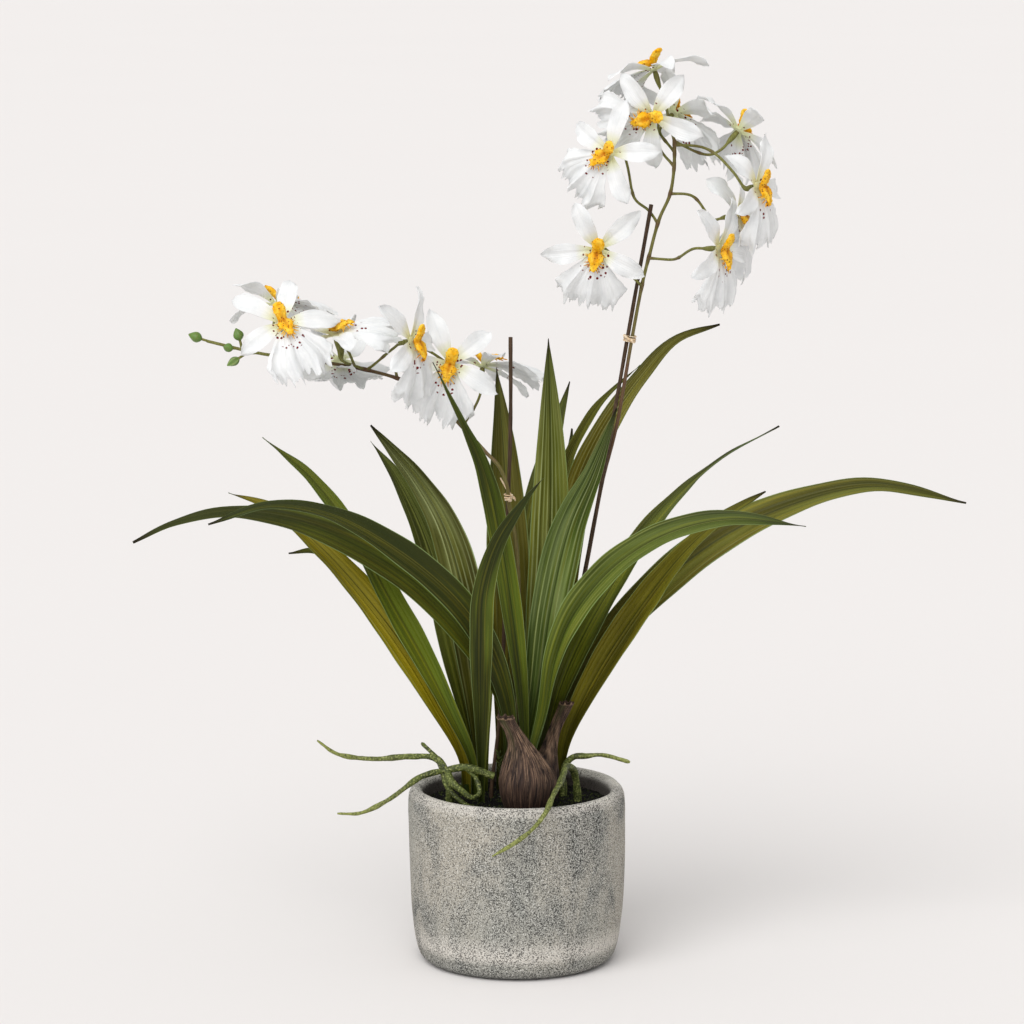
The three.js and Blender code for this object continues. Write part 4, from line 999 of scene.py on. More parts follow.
def addPetals(skin, place, seed):
    look = bloom
    s = np.linspace(-0.1, 1, look["petalRows"])
    t = np.linspace(-1, 1, look["petalColumns"])
    side, row = np.meshgrid(t, s)
    half = look["petalWidth"] / 2 * eased(s, look["petalStations"], look["petalWidths"])
    step = math.radians(360 / look["petals"])
    start = look["hubRadius"] * math.cos(step / 2)
    for k in range(look["petals"]):
        angle = step * (k + 0.5)
        direction = (math.sin(angle), math.cos(angle))
        mine = seed * 7 + k
        low, high = look["petalSlopes"]
        low += look["petalSlopeSpreads"][0] * draw(mine)
        high += look["petalSlopeSpreads"][1] * draw(mine + 0.3)
        if k == look["lowerPetal"]:
            low, high = look["lowerPetalSlopes"]
        twist = math.radians(look["petalTwistSpread"]) * draw(mine + 0.6)
        length = look["petalLength"] * (1 + look["petalLengthSpread"] * draw(mine + 0.9))
        centre, along, face = spine(direction, start, length, math.radians(low), math.radians(high), s)
        lean = (twist * s)[:, None]
        face = face * np.cos(lean) + np.cross(along, face) * np.sin(lean)
        across = unit(np.cross(along, face))
        up = unit(np.cross(across, along))[:, None]
        phase = 3 * draw(mine + 0.4)
        channel = (np.sqrt(side**2 + 0.03) - math.sqrt(0.03)) * half[:, None] * math.sin(look["petalFold"])
        crease = -0.5 * np.exp(-((side / 0.16) ** 2)) * (1 - row**2)
        wave = look["petalWave"] * np.abs(side) ** 2 * np.sin(8.5 * row + phase + 1.8 * np.sign(side))
        wave *= smooth(row, 0.15, 0.6)
        lift = channel + crease + wave
        reach = side * (half * math.cos(look["petalFold"]))[:, None]
        middle = centre[:, None] + across[:, None] * reach[..., None] + up * lift[..., None]
        if k == look["lowerPetal"]:
            middle[..., 2] -= look["lowerPetalDrop"]
        thick = look["petalThickness"] * (1 - 0.35 * np.abs(side) ** 2)
        frill = np.abs(side) ** 2 * smooth(row, 0.3, 0.7)
        addSheet(
            skin, place, middle, np.broadcast_to(up, middle.shape), thick,
            heart=row, fan=9 * side + 3.1 * k, frill=frill, lip=0.0, tone=draw(mine) * 0.7,
        )


def addLip(skin, place, seed):
    look = bloom
    s = np.linspace(0, 1, look["lipRows"])
    u = np.linspace(-1, 1, look["lipColumns"])
    side, row = np.meshgrid(u, s)
    first = math.radians(look["lipSlopes"][0])
    last = math.radians(look["lipSlopes"][1] + look["lipSlopeSpread"] * draw(seed))
    ruffle = look["lipRuffle"] * (1 if draw(seed + 1) > 0 else -1)
    phase = [3 * draw(seed + 0.13 * k) for k in range(5)]
    notch = look["lipNotch"] * np.exp(-((side / look["lipNotchWidth"]) ** 2))
    teeth = sum(size * np.sin(count * side + phase[k]) for k, (size, count) in enumerate(look["lipTeeth"]))
    reach = 1 - look["lipShoulder"] * side**4 - notch + look["lipRagged"] * teeth * row**2
    centre, _, face = spine((0, -1), -1.0, look["lipLength"], first, last, row * reach)
    wide = eased(s, look["lipStations"], look["lipHalfWidths"])
    jag = 1 + 0.035 * np.sin(31 * row + phase[3]) * np.abs(side) ** 4 * row
    lift = row**2 * (ruffle * np.cos(3 * math.pi * side) - look["lipCurl"] * side**2)
    lift += look["lipPleat"] * row**1.5 * np.sin(5.5 * math.pi * side + phase[4])
    lift += 0.5 * row * np.sin(11 * math.pi * side + phase[0])
    middle = centre + face * lift[..., None]
    middle[..., 0] = side * wide[:, None] * jag + face[..., 0] * lift
    thick = look["lipThickness"] * (1 - 0.4 * row)
    frill = 0.25 * row**2 + 0.9 * np.maximum(row**8, np.abs(side) ** 6 * row)
    addSheet(
        skin, place, middle, face, thick, True,
        heart=row, fan=14 * side, frill=frill, lip=1.0, tone=draw(seed) * 0.7,
    )


def addHub(skin, place):
    rings, sides = 9, 20
    reach, height = bloom["hubBulge"]
    lean = math.pi * ((np.arange(rings) + 0.5) / rings - 0.5)
    local = turnedPoints(reach * np.cos(lean), height * np.sin(lean), sides)
    addLocal(
        skin, place, local, 0 * local, tubeFaces(rings, sides), uv=local[:, :2] / 100,
        heart=0, fan=0, frill=0, speckled=0, lip=0, tone=0,
    )


# callus: down the flower [y, z, half width, half thickness, groove]
callusLevels = (
    (11.3, 13.1, 0.8, 0.4, 0.0), (10.8, 12.9, 2.6, 1.1, 0.1), (8.5, 12.1, 4.2, 1.7, 0.15),
    (6.0, 10.7, 4.7, 2.1, 0.1), (3.5, 8.9, 4.4, 2.2, 0.1), (1, 6.3, 3.7, 2.3, 0.2),
    (-1.3, 5.1, 3.9, 2.5, 0.3), (-3.6, 6.1, 5.6, 2.6, 0.4), (-6.3, 7.1, 5.9, 2.4, 0.4),
    (-8.7, 7.6, 4.4, 2.1, 0.3), (-11, 7.7, 3.1, 1.8, 0.2), (-13.3, 7.6, 2.7, 1.4, 0.1),
    (-15.3, 7.4, 1.2, 0.8, 0.0), (-16.0, 7.2, 0.3, 0.3, 0.0),
)


def addCallus(skin, place, seed):
    rings, sides = 54, 30
    table = np.array(callusLevels)
    levels = eased(np.linspace(0, len(table) - 1, rings), np.arange(len(table)), table)
    centre = np.stack([np.zeros(rings), levels[:, 0], levels[:, 1]], axis=1)
    side = np.array([1.0, 0.0, 0.0])
    rise = np.cross(unit(np.gradient(centre, axis=0)), side)
    angle, _ = circle(sides)
    points, shadow, lifts = [], [], []
    for k, (height, _, wide, thick, groove) in enumerate(levels):
        front = np.clip(np.sin(angle), 0, 1)
        dip = 1 - groove * np.exp(-((np.cos(angle) / 0.3) ** 2)) * front
        lump = 1 + 0.05 * np.sin(5 * angle + 0.9 * k + seed) + 0.05 * np.sin(9 * angle - 0.7 * k)
        x, z = wide * np.cos(angle) * lump, thick * np.sin(angle) * dip * lump
        ring = side * x[:, None] + rise[k] * z[:, None]
        points.append(centre[k] + ring)
        lifts.append(unit(ring + 1e-6))
        shadow.append(np.clip((1 - dip) * 2 + 0.6 * math.exp(-(((height + 1) / 2.5) ** 2)), 0, 1))
    local, lift = np.concatenate(points), np.concatenate(lifts)
    addLocal(skin, place, local, lift, tubeFaces(rings, sides), frill=1, shadow=np.concatenate(shadow))


callusFringe = {
    "teeth": 15, "length": 4.4, "radius": 0.5, "rings": 5, "sides": 6, "spread": 220, "first": 20,
    "middle": (0.0, -7.0, 6.8), "reach": (4.6, 8.0), "rise": 0.9,
}


# Short golden teeth that stand out round the lower half of the callus.
def addFringe(skin, place, seed):
    look = callusFringe
    share = np.linspace(0, 1, look["rings"])
    _, ring = circle(look["sides"])
    for k in range(look["teeth"]):
        lean = look["first"] - look["spread"] * (k + 0.4 * draw(seed + k)) / (look["teeth"] - 1)
        lean = math.radians(lean)
        out = np.array([math.cos(lean), math.sin(lean), -0.55 + 0.25 * draw(seed + 1.7 * k)])
        length = look["length"] * (0.75 + 0.35 * draw(seed + 2.3 * k))
        base = np.array(look["middle"]) + out * [*look["reach"], 0.0]
        path = base + out * length * share[:, None] + np.array([0, 0, look["rise"]]) * (share**2)[:, None]
        across = unit(np.cross(out, [0.0, 0.0, 1.0]))
        above = unit(np.cross(across, out))
        radius = look["radius"] * (1 - 0.75 * share**2)
        local = (path[:, None] + ring @ [across, above] * radius[:, None, None]).reshape(-1, 3)
        shadow = 0.5 + 0.5 * draw(seed + 3.1 * k)
        faces = tubeFaces(look["rings"], look["sides"])
        addLocal(skin, place, local, 0 * local, faces, frill=0, shadow=shadow)


def fillPetals(skin, place, seed):
    addPetals(skin, place, seed)
    addLip(skin, place, seed)
    addHub(skin, place)


def fillCallus(skin, place, seed):
    addCallus(skin, place, seed)
    addFringe(skin, place, seed)


# the two pieces of a flower: height and size of the noise that frills each, and angle of sharp edges
flowerPieces = {
    "petals": (fillPetals, "petal", makePetalMaterial(), 0.0062, 150.0, 70),
    "callus": (fillCallus, "callus", makeCallusMaterial(), 0.0032, 430.0, 80),
}
frillTree = makeFrillTree()
for spray, flowers in (("right", rightFlowers), ("left", leftFlowers)):
    for name, (at, face, up, _, _, seed, _) in flowers.items():
        front = unit(face)
        upper = np.array(up, float)
        upper = unit(upper - front * np.dot(upper, front))
        place = (np.array(at, float), np.stack([np.cross(upper, front), upper, front]))
        for kind, (fill, slot, material, height, size, angle) in flowerPieces.items():
            skin = Skin()
            fill(skin, place, seed)
            mesh = frillTree.grow(
                skin.build(kind), Height=height, Size=size, Seed=float(seed), Material=material,
            )
            finishMesh(f"{kind}_{spray}_{name}", mesh, [f"bloom_{spray}_{name}_{kind}"], angle)
print("flowers done")


rootColour = {
    "green": (0.33, 0.37, 0.15),
    "dark": (0.17, 0.20, 0.08),
    "pale": (0.62, 0.64, 0.39),
    "young": (0.54, 0.56, 0.29),
}
rootSize = {
    "footZ": 112.0, "radius": 3.3, "tipRadius": 1.3, "branchShare": 0.95, "lump": 0.5, "tipShare": 0.04,
    "step": 1.6, "youngStrands": (0, 2),
}
airRoots = {
    "root_left": [
        [(-52, -20), (-54, -22, 150), (-62, -14, 161), (-83, -10, 162), (-110, -14, 161),
         (-139, -18, 166), (-154, -20, 177)],
        [(-56, -21, 153), (-62, -8, 160), (-74, 2, 170)],
        [(-18, -21, 149), (-39, -22, 156), (-54, -22, 154), (-74, -28, 150), (-98, -34, 134),
         (-120, -38, 124), (-138, -40, 124)],
        [(-54, -22, 153), (-50, -30, 146), (-42, -34, 140), (-35, -34, 135), (-29, -28, 137),
         (-32, -23, 148), (-40, -22, 155)],
        [(-56, -21, 151), (-54, -24, 143), (-48, -28, 135), (-40, -30, 129), (-31, -29, 125)],
    ],
    "root_front": [
        [(47, 0), (44, -8, 150), (38, -24, 157), (34, -50, 153), (27, -76, 146), (21, -90, 136),
         (12, -93, 125), (-2, -94, 114), (-19, -95, 104)],
    ],
    "root_right": [
        [(36, 20), (37, 20, 147), (44, 19, 155), (54, 18, 156), (66, 17.5, 157), (88, 14, 152)],
    ],
}


def makeRootMaterial():
    paint = Paint("rootMoss", rootColour, "dark", Specular_IOR_Level=0.35)
    lumps = paint.noise(130, 4.0, 0.6)
    fine = paint.noise(700, 3.0)
    paint.lay("green", lumps.remap(0.34, 0.60))
    paint.lay("young", paint.value("along").remap(0.45, 1.0, 0.0, 0.85))
    paint.lay("pale", fine.remap(0.53, 0.66, 0.0, 0.75))
    paint.lay("dark", fine.remap(0.46, 0.34, 0.0, 0.85))
    bumps = ((fine, 0.0006, 0.7), (lumps, 0.0012, 0.5))
    return paint.finish(*bumps, roughness=lumps.remap(0.3, 0.7, 0.5, 0.72))


def rootChain(path, order):
    size = rootSize
    curve = PlantCurve(path) if order else rooted(path[0], size["footZ"], path[1:])
    s = np.linspace(0, 1, int(curve.length / size["step"]))
    walked = s * curve.length
    radius = size["radius"] + (size["tipRadius"] - size["radius"]) * s
    radius *= size["branchShare"] if order else 1
    radius += size["lump"] * (0.5 * np.sin(walked / 6.1 + 2 * order) + 0.3 * np.sin(walked / 2.7 + order))
    radius *= np.sqrt(np.clip((1.01 - s) / size["tipShare"], 0.05, 1))
    young = 1.0 if order in size["youngStrands"] else 0.3
    return {"points": curve.at(s), "radius": radius, "along": young * s}


rootMaterial = makeRootMaterial()
for node, paths in airRoots.items():
    chains = [rootChain(path, order) for order, path in enumerate(paths)]
    finishRods("air_" + node, chains, [node], rootMaterial, grain=0.9, grainSize=190)
print("roots done")


huskColour = {
    "brown": (0.33, 0.24, 0.19),
    "dark": (0.11, 0.07, 0.06),
    "pale": (0.58, 0.47, 0.38),
    "green": (0.27, 0.28, 0.15),
}
huskLook = {
    "sides": 96, "rings": 90, "ridge": 0.5, "wall": 1.3, "neckHeights": (0.99, 0.94, 0.88),
    "neckShades": (0.35, 0.2, 0.05), "fibres": 130, "fibrePoints": 30, "fibreRadius": 0.2,
}
bulbs = {
    "bulb_front": ((8, -27, 116, 16.5), (8, -27, 126, 17.5), (8, -27, 136, 20.6), (8, -27, 147, 21.8),
                   (7, -27, 156, 19.3), (5, -27, 166, 14), (2.2, -26, 175, 9), (-2, -26, 184, 6.6),
                   (-7, -25, 192, 6.2), (-9, -25, 196.3, 7.0)),
    "bulb_back": ((22, 10, 116, 10), (22, 10, 128, 10.2), (22, 10, 142, 10.5), (23, 11, 154, 8.5),
                  (25, 12, 164, 6), (28, 13, 174, 4.6), (32, 14, 184, 4.6), (36.5, 15, 194, 5.2),
                  (38.5, 15, 199, 5.8)),
}


def makeHuskMaterial():
    paint = Paint("huskBrown", huskColour, "dark", Specular_IOR_Level=0.3)
    flat = paint.surface()
    across, upward, _ = paint.parts(flat)
    fibres = paint.noise((150, 3.2, 1), 3.0, 0.6, 0.3, over=flat)
    broad = paint.noise((11, 2.2, 1), 3.0, over=flat)
    paint.lay("brown", fibres.remap(0.40, 0.58))
    # Pale patches along the fibres, partly paler fibre and partly painted highlight.
    paint.lay("pale", fibres.remap(0.52, 0.66) * broad.remap(0.36, 0.6))
    paint.lay("dark", upward.remap(0.0, 0.5, 0.8, 0.0).calc("MAXIMUM", broad.remap(0.5, 0.36, 0.0, 0.45)))
    fresh = upward.remap(0.5, 0.8) * across.remap(0.42, 0.55, 0.0, 0.7)
    paint.lay("green", fresh * across.remap(0.72, 0.62))
    paint.lay("pale", upward.remap(0.965, 0.99, 0.0, 0.7))
    return paint.finish((fibres, 0.0010, 0.9), roughness=fibres.remap(0.3, 0.7, 0.75, 0.5))


def makeFibreMaterial():
    paint = Paint("fibreBrown", huskColour, "dark", Roughness=0.6, Specular_IOR_Level=0.3)
    mottle = paint.noise((260, 260, 60), 3.0)
    paint.lay("pale", mottle.remap(0.35, 0.68))
    paint.lay("dark", paint.value("strand").remap(0.5, 0.1, 0.0, 0.8))
    return paint.finish((mottle, 0.0003, 0.5))


# Points of the husk at angles (radians) and heights (0 to 1), moved out by so much.
def huskPoints(levels, angles, heights, out=0.0):
    table = eased(heights * (len(levels) - 1), np.arange(len(levels)), np.array(levels, float))
    ridge = np.sin(17 * angles + 5 * heights) + 0.7 * np.sin(29 * angles - 7 * heights)
    ridge += 0.6 * np.sin(47 * angles + 11 * heights)
    fade = np.clip(table[:, 3] / 12, 0.35, 1.0)
    radius = table[:, 3] + huskLook["ridge"] * 0.5 * ridge * fade + out
    sway = angles + 0.5 * heights**2
    return np.stack([
        table[:, 0] + radius * np.cos(sway), table[:, 1] + radius * np.sin(sway), table[:, 2],
    ], axis=1)


def makeBulb(node, levels, seed):
    look = huskLook
    angles, _ = circle(look["sides"])
    ragged = 0.9 * np.sin(7 * angles + seed) + 0.6 * np.sin(13 * angles)
    rows = np.linspace(0, 1, look["rings"])
    level = np.ones(look["sides"])
    rings = [huskPoints(levels, angles, level * h) for h in rows]
    rings += [huskPoints(levels, angles, level * h, -look["wall"]) for h in look["neckHeights"]]
    rings[len(rows) - 1][:, 2] += ragged
    rings[len(rows)][:, 2] += 0.8 * ragged
    heights = np.repeat((*rows, *look["neckShades"]), look["sides"])
    flat = np.stack([np.tile(angles / (2 * math.pi), len(rings)), heights], axis=1)
    skin = Skin()
    skin.add(np.concatenate(rings), tubeFaces(len(rings), look["sides"]), uv=flat)
    finishMesh("husk_" + node[5:], skin.build(node, huskMaterial), [node], 80)
    chains = []
    count = look["fibrePoints"]
    for k in range(look["fibres"]):
        low, high = 0.05 + 0.2 * abs(draw(seed + k)), 0.99 - 0.25 * abs(draw(seed + k + 0.5))
        s = np.linspace(low, high, count)
        angle = 2 * math.pi * k / look["fibres"] + 0.15 * draw(seed + 2 * k) + 0.12 * np.sin(5 * s + k)
        points = huskPoints(levels, angle, s, 0.15 + 0.25 * np.sin(6 * s + k))
        radius = look["fibreRadius"] * np.sin(math.pi * np.linspace(0.05, 0.95, count))
        chains.append({"points": points, "radius": radius, "strand": s})
    finishRods("fibres_" + node[5:], chains, [node], fibreMaterial, 80, sides=5)


huskMaterial = makeHuskMaterial()
fibreMaterial = makeFibreMaterial()
for order, (node, levels) in enumerate(bulbs.items()):
    makeBulb(node, levels, 5 * order)
print("bulbs done")


potLook = {"sides": 160, "rings": 110, "wave": 0.25, "height": 137, "innerShade": (130, 135.5)}
potOutline = (
    (0.5, 0), (30, 0), (58, 0), (66, 0.15), (71.8, 1.6), (76, 5), (78.4, 12), (81.7, 34), (83.8, 73),
    (84.4, 111), (84.4, 124), (83.3, 132.4), (80.6, 136.3), (77.6, 137), (74.9, 135.8), (73.1, 132.8),
    (72.5, 127), (71.2, 105), (66.1, 16), (62, 14), (30, 14), (0.5, 14),
)
potColour = {
    "base": (0.60, 0.60, 0.57),
    "warm": (0.65, 0.63, 0.585),
    "cool": (0.535, 0.545, 0.53),
    "dark": (0.13, 0.125, 0.12),
    "pale": (0.90, 0.895, 0.87),
    "rim": (0.82, 0.80, 0.765),
    "inside": (0.21, 0.175, 0.16),
}


def makePotMaterial():
    paint = Paint("stoneSpeckle", potColour, "base", Specular_IOR_Level=0.25)
    _, _, height = paint.parts(paint.place)
    clouds = paint.noise((24, 24, 13), 5.0, 0.62, 0.6, shift=(1, 4, 2))
    drift = paint.noise((15, 15, 5), 3.0, shift=(3, 1, 2))
    grit = paint.noise(900, 2.0, 0.7)
    dust = paint.noise(1300, 1.0)
    # Painted shade: a cooler, more speckled band round the foot.
    footShade = height.remap(0.016, 0.002) * 0.7
    paint.lay("warm", drift.remap(0.35, 0.62))
    patch = clouds.remap(0.45, 0.66, 0.0, 0.8).calc("MAXIMUM", footShade)
    paint.lay("cool", patch)
    # A paler band low on the side, and a painted highlight along the top of the rim.
    pale = height.remap(0.012, 0.018) * height.remap(0.036, 0.022, 0.0, 0.8)
    paint.lay("rim", pale.calc("MAXIMUM", height.remap(0.129, 0.1335, 0.0, 0.75)))
    speck = (grit - patch.remap(0.0, 0.8, 0.535, 0.46)).remap(0.0, 0.05)
    paint.lay("dark", speck * patch.remap(0.0, 0.8, 0.72, 0.95))
    paint.lay("pale", dust.remap(0.58, 0.66, 0.0, 0.7))
    # Painted shade darkens the inner wall below the rim.
    paint.lay("inside", paint.value("inside") * 0.88)
    bumps = ((speck, 0.0005, 0.6), (dust, 0.0005, 0.4))
    return paint.finish(*bumps, roughness=clouds.remap(0.3, 0.7, 0.8, 0.95))


def makePot():
    look = potLook
    outline = np.array(potOutline, float)
    steps = np.linalg.norm(np.diff(outline, axis=0), axis=1)
    walked = np.concatenate([[0], np.cumsum(steps)])
    profile = eased(np.linspace(0, walked[-1], look["rings"]), walked, outline)
    profile[:, 1] = np.clip(profile[:, 1], 0, look["height"])
    angles, ring = circle(look["sides"])
    points, inside = [], []
    for k, (radius, z) in enumerate(profile):
        wave = np.sin(3 * angles + z / 30) + 0.6 * np.sin(7 * angles - z / 17) - 1
        wide = radius + look["wave"] * wave * (radius > 60) * (2 < z)
        points.append(np.column_stack([ring * wide[:, None], np.full(len(angles), z)]))
        within = 1 - smooth(z, *look["innerShade"]) if k > look["rings"] / 2 else 0.0
        inside.append(np.full(len(angles), within))
    skin = Skin()
    skin.add(np.concatenate(points), tubeFaces(look["rings"], look["sides"]), inside=np.concatenate(inside))
    finishMesh("stone_pot", skin.build("pot", makePotMaterial()), ["pot"])


makePot()
print("pot done")


groundColour = {
    "black": (0.018, 0.017, 0.014),
    "brown": (0.055, 0.045, 0.035),
    "moss": (0.075, 0.095, 0.03),
    "mossPale": (0.25, 0.29, 0.10),
    "white": (0.62, 0.64, 0.60),
}
groundLook = {
    "radius": 71.6, "rings": 44, "sides": 150, "lump": 4.0, "size": 95.0, "rise": 2.2,
    "sideLevels": ((70.4, 109), (71.6, 121.5)),
}
# of each scattered kind: lumps to a square metre, radius in metres, slimness, material and two colours
groundScatter = {
    "crumbs": (260000.0, 0.0011, 1.3, "crumbBlack", "black", "brown"),
    "moss_clumps": (90000.0, 0.0009, 1.6, "crumbMoss", "moss", "mossPale"),
    "white_grit": (4000.0, 0.0007, 2.2, "crumbWhite", "white", "mossPale"),
}


def makeGroundMaterial():
    paint = Paint("compostDark", groundColour, "black", Roughness=0.9, Specular_IOR_Level=0.2)
    patch = paint.noise(45, 3.0, 0.6)
    fine = paint.noise(420, 4.0, 0.65)
    paint.lay("brown", fine.remap(0.4, 0.7))
    paint.lay("moss", patch.remap(0.48, 0.62) * fine.remap(0.42, 0.62))
    return paint.finish((fine, 0.002, 0.9))


def makeCrumbMaterial(name, first, second):
    paint = Paint(name, groundColour, first, Roughness=0.85, Specular_IOR_Level=0.2)
    fine = paint.noise(300, 3.0)
    paint.lay(second, fine.remap(0.38, 0.62))
    return paint.finish((fine, 0.0008, 0.7))


# Lifts the points of the upper side by noise.
def makeGroundTree():
    ground = Growth("unevenGround", Lump=0.004, Size=90.0)
    given = ground.given
    place = ground.node("GeometryNodeInputPosition")
    wild = ground.noise(given.out("Size"), 4.0, 0.6, over=place) - 0.5
    rise = wild * given.out("Lump") * ground.named("top")
    ground.close(ground.moved(given, (0.0, 0.0, 1.0), rise))
    return ground


# Small lumps scattered over the upper side of a mesh.
def makeScatterTree():
    lumps = Growth("scatteredLumps", Density=1000.0, Seed=1, Radius=0.001, Slimness=1.0)
    given = lumps.given
    _, _, upward = lumps.parts(lumps.node("GeometryNodeInputNormal"))
    sides = {0: upward, 1: 0.3}
    chosen = lumps.node("FunctionNodeCompare", sides, data_type="FLOAT", operation="GREATER_THAN")
    scatter = {"Mesh": given, "Selection": chosen, "Density": given.out("Density"), "Seed": given.out("Seed")}
    points = lumps.node("GeometryNodeDistributePointsOnFaces", scatter)
    ball = lumps.node("GeometryNodeMeshIcoSphere", {"Radius": given.out("Radius"), "Subdivisions": 1})
    spins = {1: (6.3, 6.3, 6.3)}
    spin = lumps.node("FunctionNodeRandomValue", spins, data_type="FLOAT_VECTOR")
    sizes = {0: (0.4, 0.5, 0.4), 1: (1.3, 1.1, 1.0)}
    size = lumps.node("FunctionNodeRandomValue", sizes, data_type="FLOAT_VECTOR")
    slim = lumps.node("ShaderNodeCombineXYZ", {"X": given.out("Slimness"), "Y": 1.0, "Z": 1.0})
    scale = lumps.node("ShaderNodeVectorMath", {0: size, 1: slim}, operation="MULTIPLY")
    turned = lumps.node("FunctionNodeEulerToRotation", {0: spin})
    values = {"Points": points, "Instance": ball, "Rotation": turned, "Scale": scale}
    lumps.close(lumps.node("GeometryNodeInstanceOnPoints", values))
    return lumps


def makeGround():
    look = groundLook
    share = 1 - np.arange(look["rings"]) / (look["rings"] - 0.5)
    sideRadii, sideHeights = np.transpose(look["sideLevels"])
    radii = np.concatenate([sideRadii, look["radius"] * share])
    heights = np.concatenate([sideHeights, soilTop + look["rise"] * (1 - share) ** 1.5])
    top = np.concatenate([0 * sideRadii, np.minimum(1, 6 * (1 - share))])
    points = turnedPoints(radii, heights, look["sides"])
    skin = Skin()
    skin.add(points, tubeFaces(len(radii), look["sides"]), top=np.repeat(top, look["sides"]))
    ground = makeGroundTree().grow(
        skin.build("ground"), Lump=look["lump"] * millimetre, Size=look["size"],
        Material=makeGroundMaterial(),
    )
    scatterTree = makeScatterTree()
    for order, (name, (density, radius, slimness, *paint)) in enumerate(groundScatter.items()):
        mesh = scatterTree.grow(
            ground.copy(), Density=density, Seed=7 + order, Radius=radius, Slimness=slimness,
            Material=makeCrumbMaterial(*paint),
        )
        finishMesh("soil_" + name, mesh, ["soil"], 80)
    finishMesh("soil_ground", ground, ["soil"])


makeGround()


# A sprig of moss that stands between the front bulb and the left cane.
sprigPlan = {
    "foot": (-13, -10, 122), "tip": (-13, -10, 166), "rows": 20, "leaflets": 26, "leafletLength": 5.5,
    "leafletRows": 6,
}


def makeSprig():
    plan = sprigPlan
    foot, tip = np.array(plan["foot"], float), np.array(plan["tip"], float)
    s = np.linspace(0, 1, plan["rows"])
    sway = np.stack([1.5 * np.sin(4 * s), np.sin(3 * s + 1), 0 * s], axis=1)
    stalk = foot + (tip - foot) * s[:, None] + sway
    chains = [{"points": stalk, "radius": 0.6 - 0.3 * s}]
    steps = np.linspace(0, 1, plan["leafletRows"])[:, None]
    leafletRadius = 0.75 * np.sin(math.pi * np.linspace(0.12, 0.95, plan["leafletRows"]))
    for k in range(plan["leaflets"]):
        at = 0.35 + 0.65 * k / plan["leaflets"]
        base = np.array([np.interp(at, s, stalk[:, axis]) for axis in range(3)])
        out = unit((math.cos(2.4 * k), math.sin(2.4 * k), 0.7 + 0.3 * draw(k)))
        out = out * plan["leafletLength"] * (1 - 0.4 * at)
        points = base + out * steps + np.array([0, 0, 1.5]) * steps**2
        chains.append({"points": points, "radius": leafletRadius})
    material = makeCrumbMaterial("sprigGreen", "moss", "mossPale")
    finishRods("moss_sprig", chains, [], material, 80, sides=6, grain=0.4)


makeSprig()
print("soil done")


tieLook = {
    "turns": 3.2, "clearance": 0.5, "height": 5.2, "strandRadius": 0.95, "flatness": 0.35,
    "turnRows": 110, "endRows": 24,
    "knot": ((-1.6, 0, 1.2), (-0.4, -0.7, 0.4), (0.9, -0.4, -0.3), (1.5, 0.2, -1.4), (0.2, -0.9, -0.6),
             (-1.3, -0.3, 0.2)),
}
tieColour = {"straw": (0.92, 0.83, 0.69), "shadow": (0.68, 0.55, 0.41), "pale": (0.97, 0.92, 0.83)}
# the place on the cane, and the steps from the knot along each loose end
ties = {
    "right": ((86, 14, 485), [[(-2.5, -0.6, 2.0), (-4.5, -0.2, 3.2)], [(2.4, -0.5, -1.8), (3.6, 0.1, -3.4)]]),
    "left": ((-7, 14, 361), [[(-3.2, -2.6, 4.5), (-6.6, -3.0, 10), (-9.6, -2.6, 15.5)],
                             [(1.4, -0.6, -1.6), (2.0, 0.1, -3.0)]]),
}


def makeRaffiaMaterial():
    paint = Paint("raffiaStraw", tieColour, "shadow", Roughness=0.7, Specular_IOR_Level=0.25)
    fine = paint.noise((500, 500, 1800), 3.0)
    paint.lay("straw", fine.remap(0.35, 0.68))
    paint.lay("pale", paint.noise(260).remap(0.45, 0.7, 0.0, 0.7))
    return paint.finish((fine, 0.0004, 0.7))


def makeTie(side, stem, near, ends):
    look = tieLook
    cane = caneCurves["stake_" + side]
    share = cane.shareNear(near)
    origin, along = cane.at(share), cane.heading(share)
    beside = stem.at(stem.shareNear(origin)) - origin
    beside = beside - along * np.dot(beside, along)
    reach = np.linalg.norm(beside)
    across = beside / reach
    out = np.cross(along, across)
    turn = np.linspace(0, 2 * math.pi * look["turns"], look["turnRows"])
    inner = stemSize["radius"] + look["clearance"] + 0.35
    flatPart = reach * (0.5 + 0.5 * np.tanh(3 * np.cos(turn)))
    radius = inner + 0.18 * np.sin(2.3 * turn)
    x, y = flatPart + radius * np.cos(turn), radius * np.sin(turn)
    z = look["height"] * np.linspace(-0.5, 0.5, len(turn)) + 0.5 * np.sin(turn * 0.9)
    wound = origin + np.stack([x, y, z], axis=1) @ [across, out, along]
    front = origin - out * np.sign(out[1]) * (inner + 0.9) + across * reach * 0.4
    strand = look["strandRadius"]
    s = np.linspace(0, 1, look["endRows"])
    knot = PlantCurve(front + np.array(look["knot"]))
    chains = [{"points": wound, "radius": np.full(len(turn), strand)}]
    chains.append({"points": knot.at(s), "radius": np.full(len(s), strand * 0.9)})
    for end in ends:
        curve = PlantCurve([front, *(front + np.array(step, float) for step in end)])
        chains.append({"points": curve.at(s), "radius": strand * (1 - 0.4 * s)})
    finishRods(
        "raffia_" + side, chains, ["tie_" + side], raffiaMaterial, sides=10,
        flatness=look["flatness"], grain=0.25,
    )


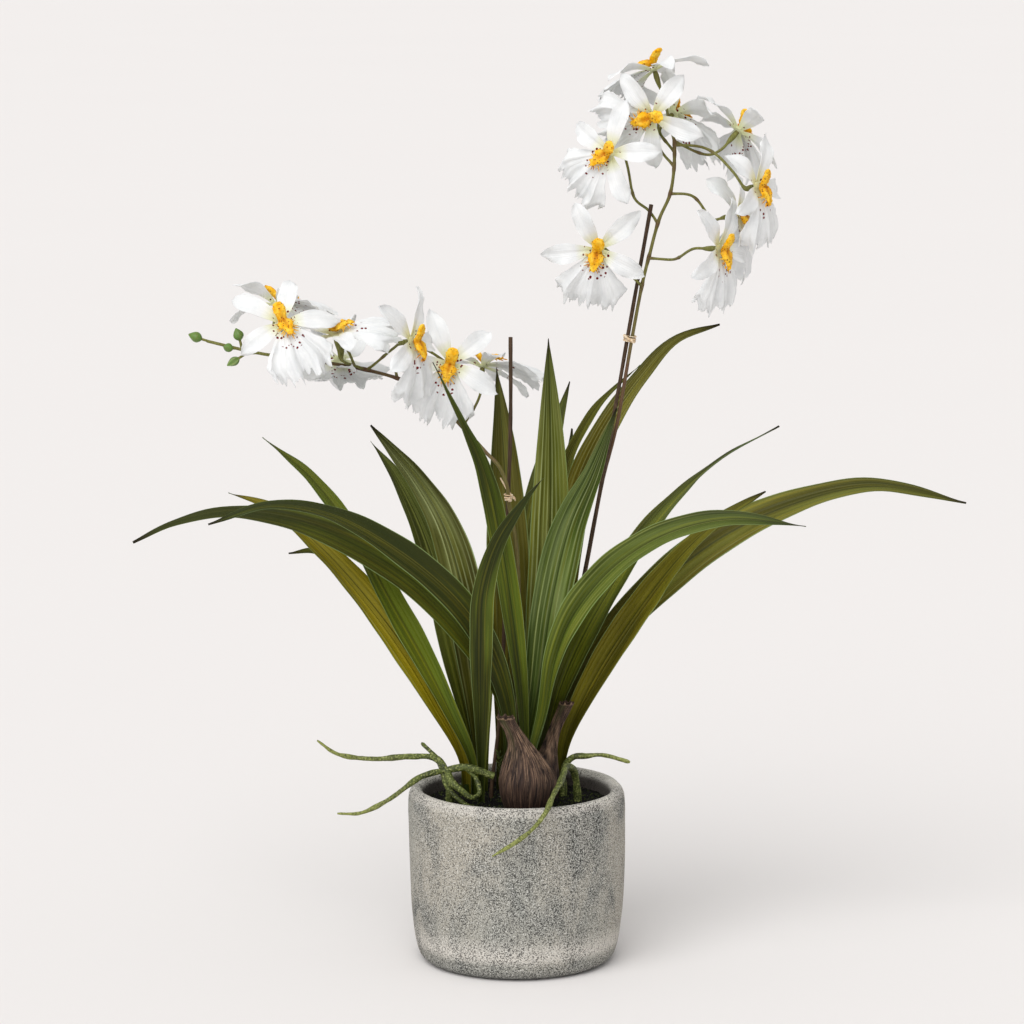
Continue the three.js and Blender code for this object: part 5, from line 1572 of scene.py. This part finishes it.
raffiaMaterial = makeRaffiaMaterial()
for side, stem in (("right", rightStem), ("left", leftStem)):
    makeTie(side, stem, *ties[side])
print("ties done")


studio = {
    "floor": (0.893, 0.881, 0.876),
    "floorLift": 1.004,
    "floorReach": 40.0,
    "world": (1.0, 0.99, 0.98),
    "worldStrength": 0.66,
    "cameraPlace": (-0.0039, -3.2, 0.8875),
    "cameraPitch": 9.5,
    "lens": 148.5,
}
# strength, angular size and turn in degrees of each sun
suns = {
    "keyLight": (1.8, 50, (42, 0, -24)),
    "fillLight": (0.5, 80, (62, 0, -18)),
}


def makeFloor():
    reach = studio["floorReach"]
    mesh = bpy.data.meshes.new("floor")
    corners = [(x * reach, y * reach, 0) for x, y in ((-1, -1), (1, -1), (1, 1), (-1, 1))]
    mesh.from_pydata(corners, [], [(0, 1, 2, 3)])
    lifted = [studio["floorLift"] * c for c in studio["floor"]]
    colours = {"plain": studio["floor"], "lifted": lifted}
    paint = Paint("floorPale", colours, "plain", Roughness=0.9, Specular_IOR_Level=0.1)
    paint.lay("lifted", paint.noise(1.5, 1.0))
    mesh.materials.append(paint.finish())
    floor = addToScene("floor", mesh)


def makeStudio():
    scene = bpy.context.scene
    world = bpy.data.worlds.new("studio")
    world.use_nodes = True
    sky = world.node_tree.nodes["Background"]
    sky.inputs["Color"].default_value = (*studio["world"], 1.0)
    sky.inputs["Strength"].default_value = studio["worldStrength"]
    scene.world = world
    for name, (strength, angle, turned) in suns.items():
        lamp = bpy.data.lights.new(name, "SUN")
        lamp.energy = strength
        lamp.angle = math.radians(angle)
        addToScene(name, lamp).rotation_euler = [math.radians(degrees) for degrees in turned]
    lens = bpy.data.cameras.new("camera")
    lens.lens = studio["lens"]
    lens.sensor_width = 36
    lens.clip_end = 100
    camera = addToScene("camera", lens)
    camera.location = studio["cameraPlace"]
    camera.rotation_euler = (math.radians(90 - studio["cameraPitch"]), 0, 0)
    scene.camera = camera
    scene.view_settings.view_transform = "Standard"


makeFloor()
makeStudio()
print("studio done")
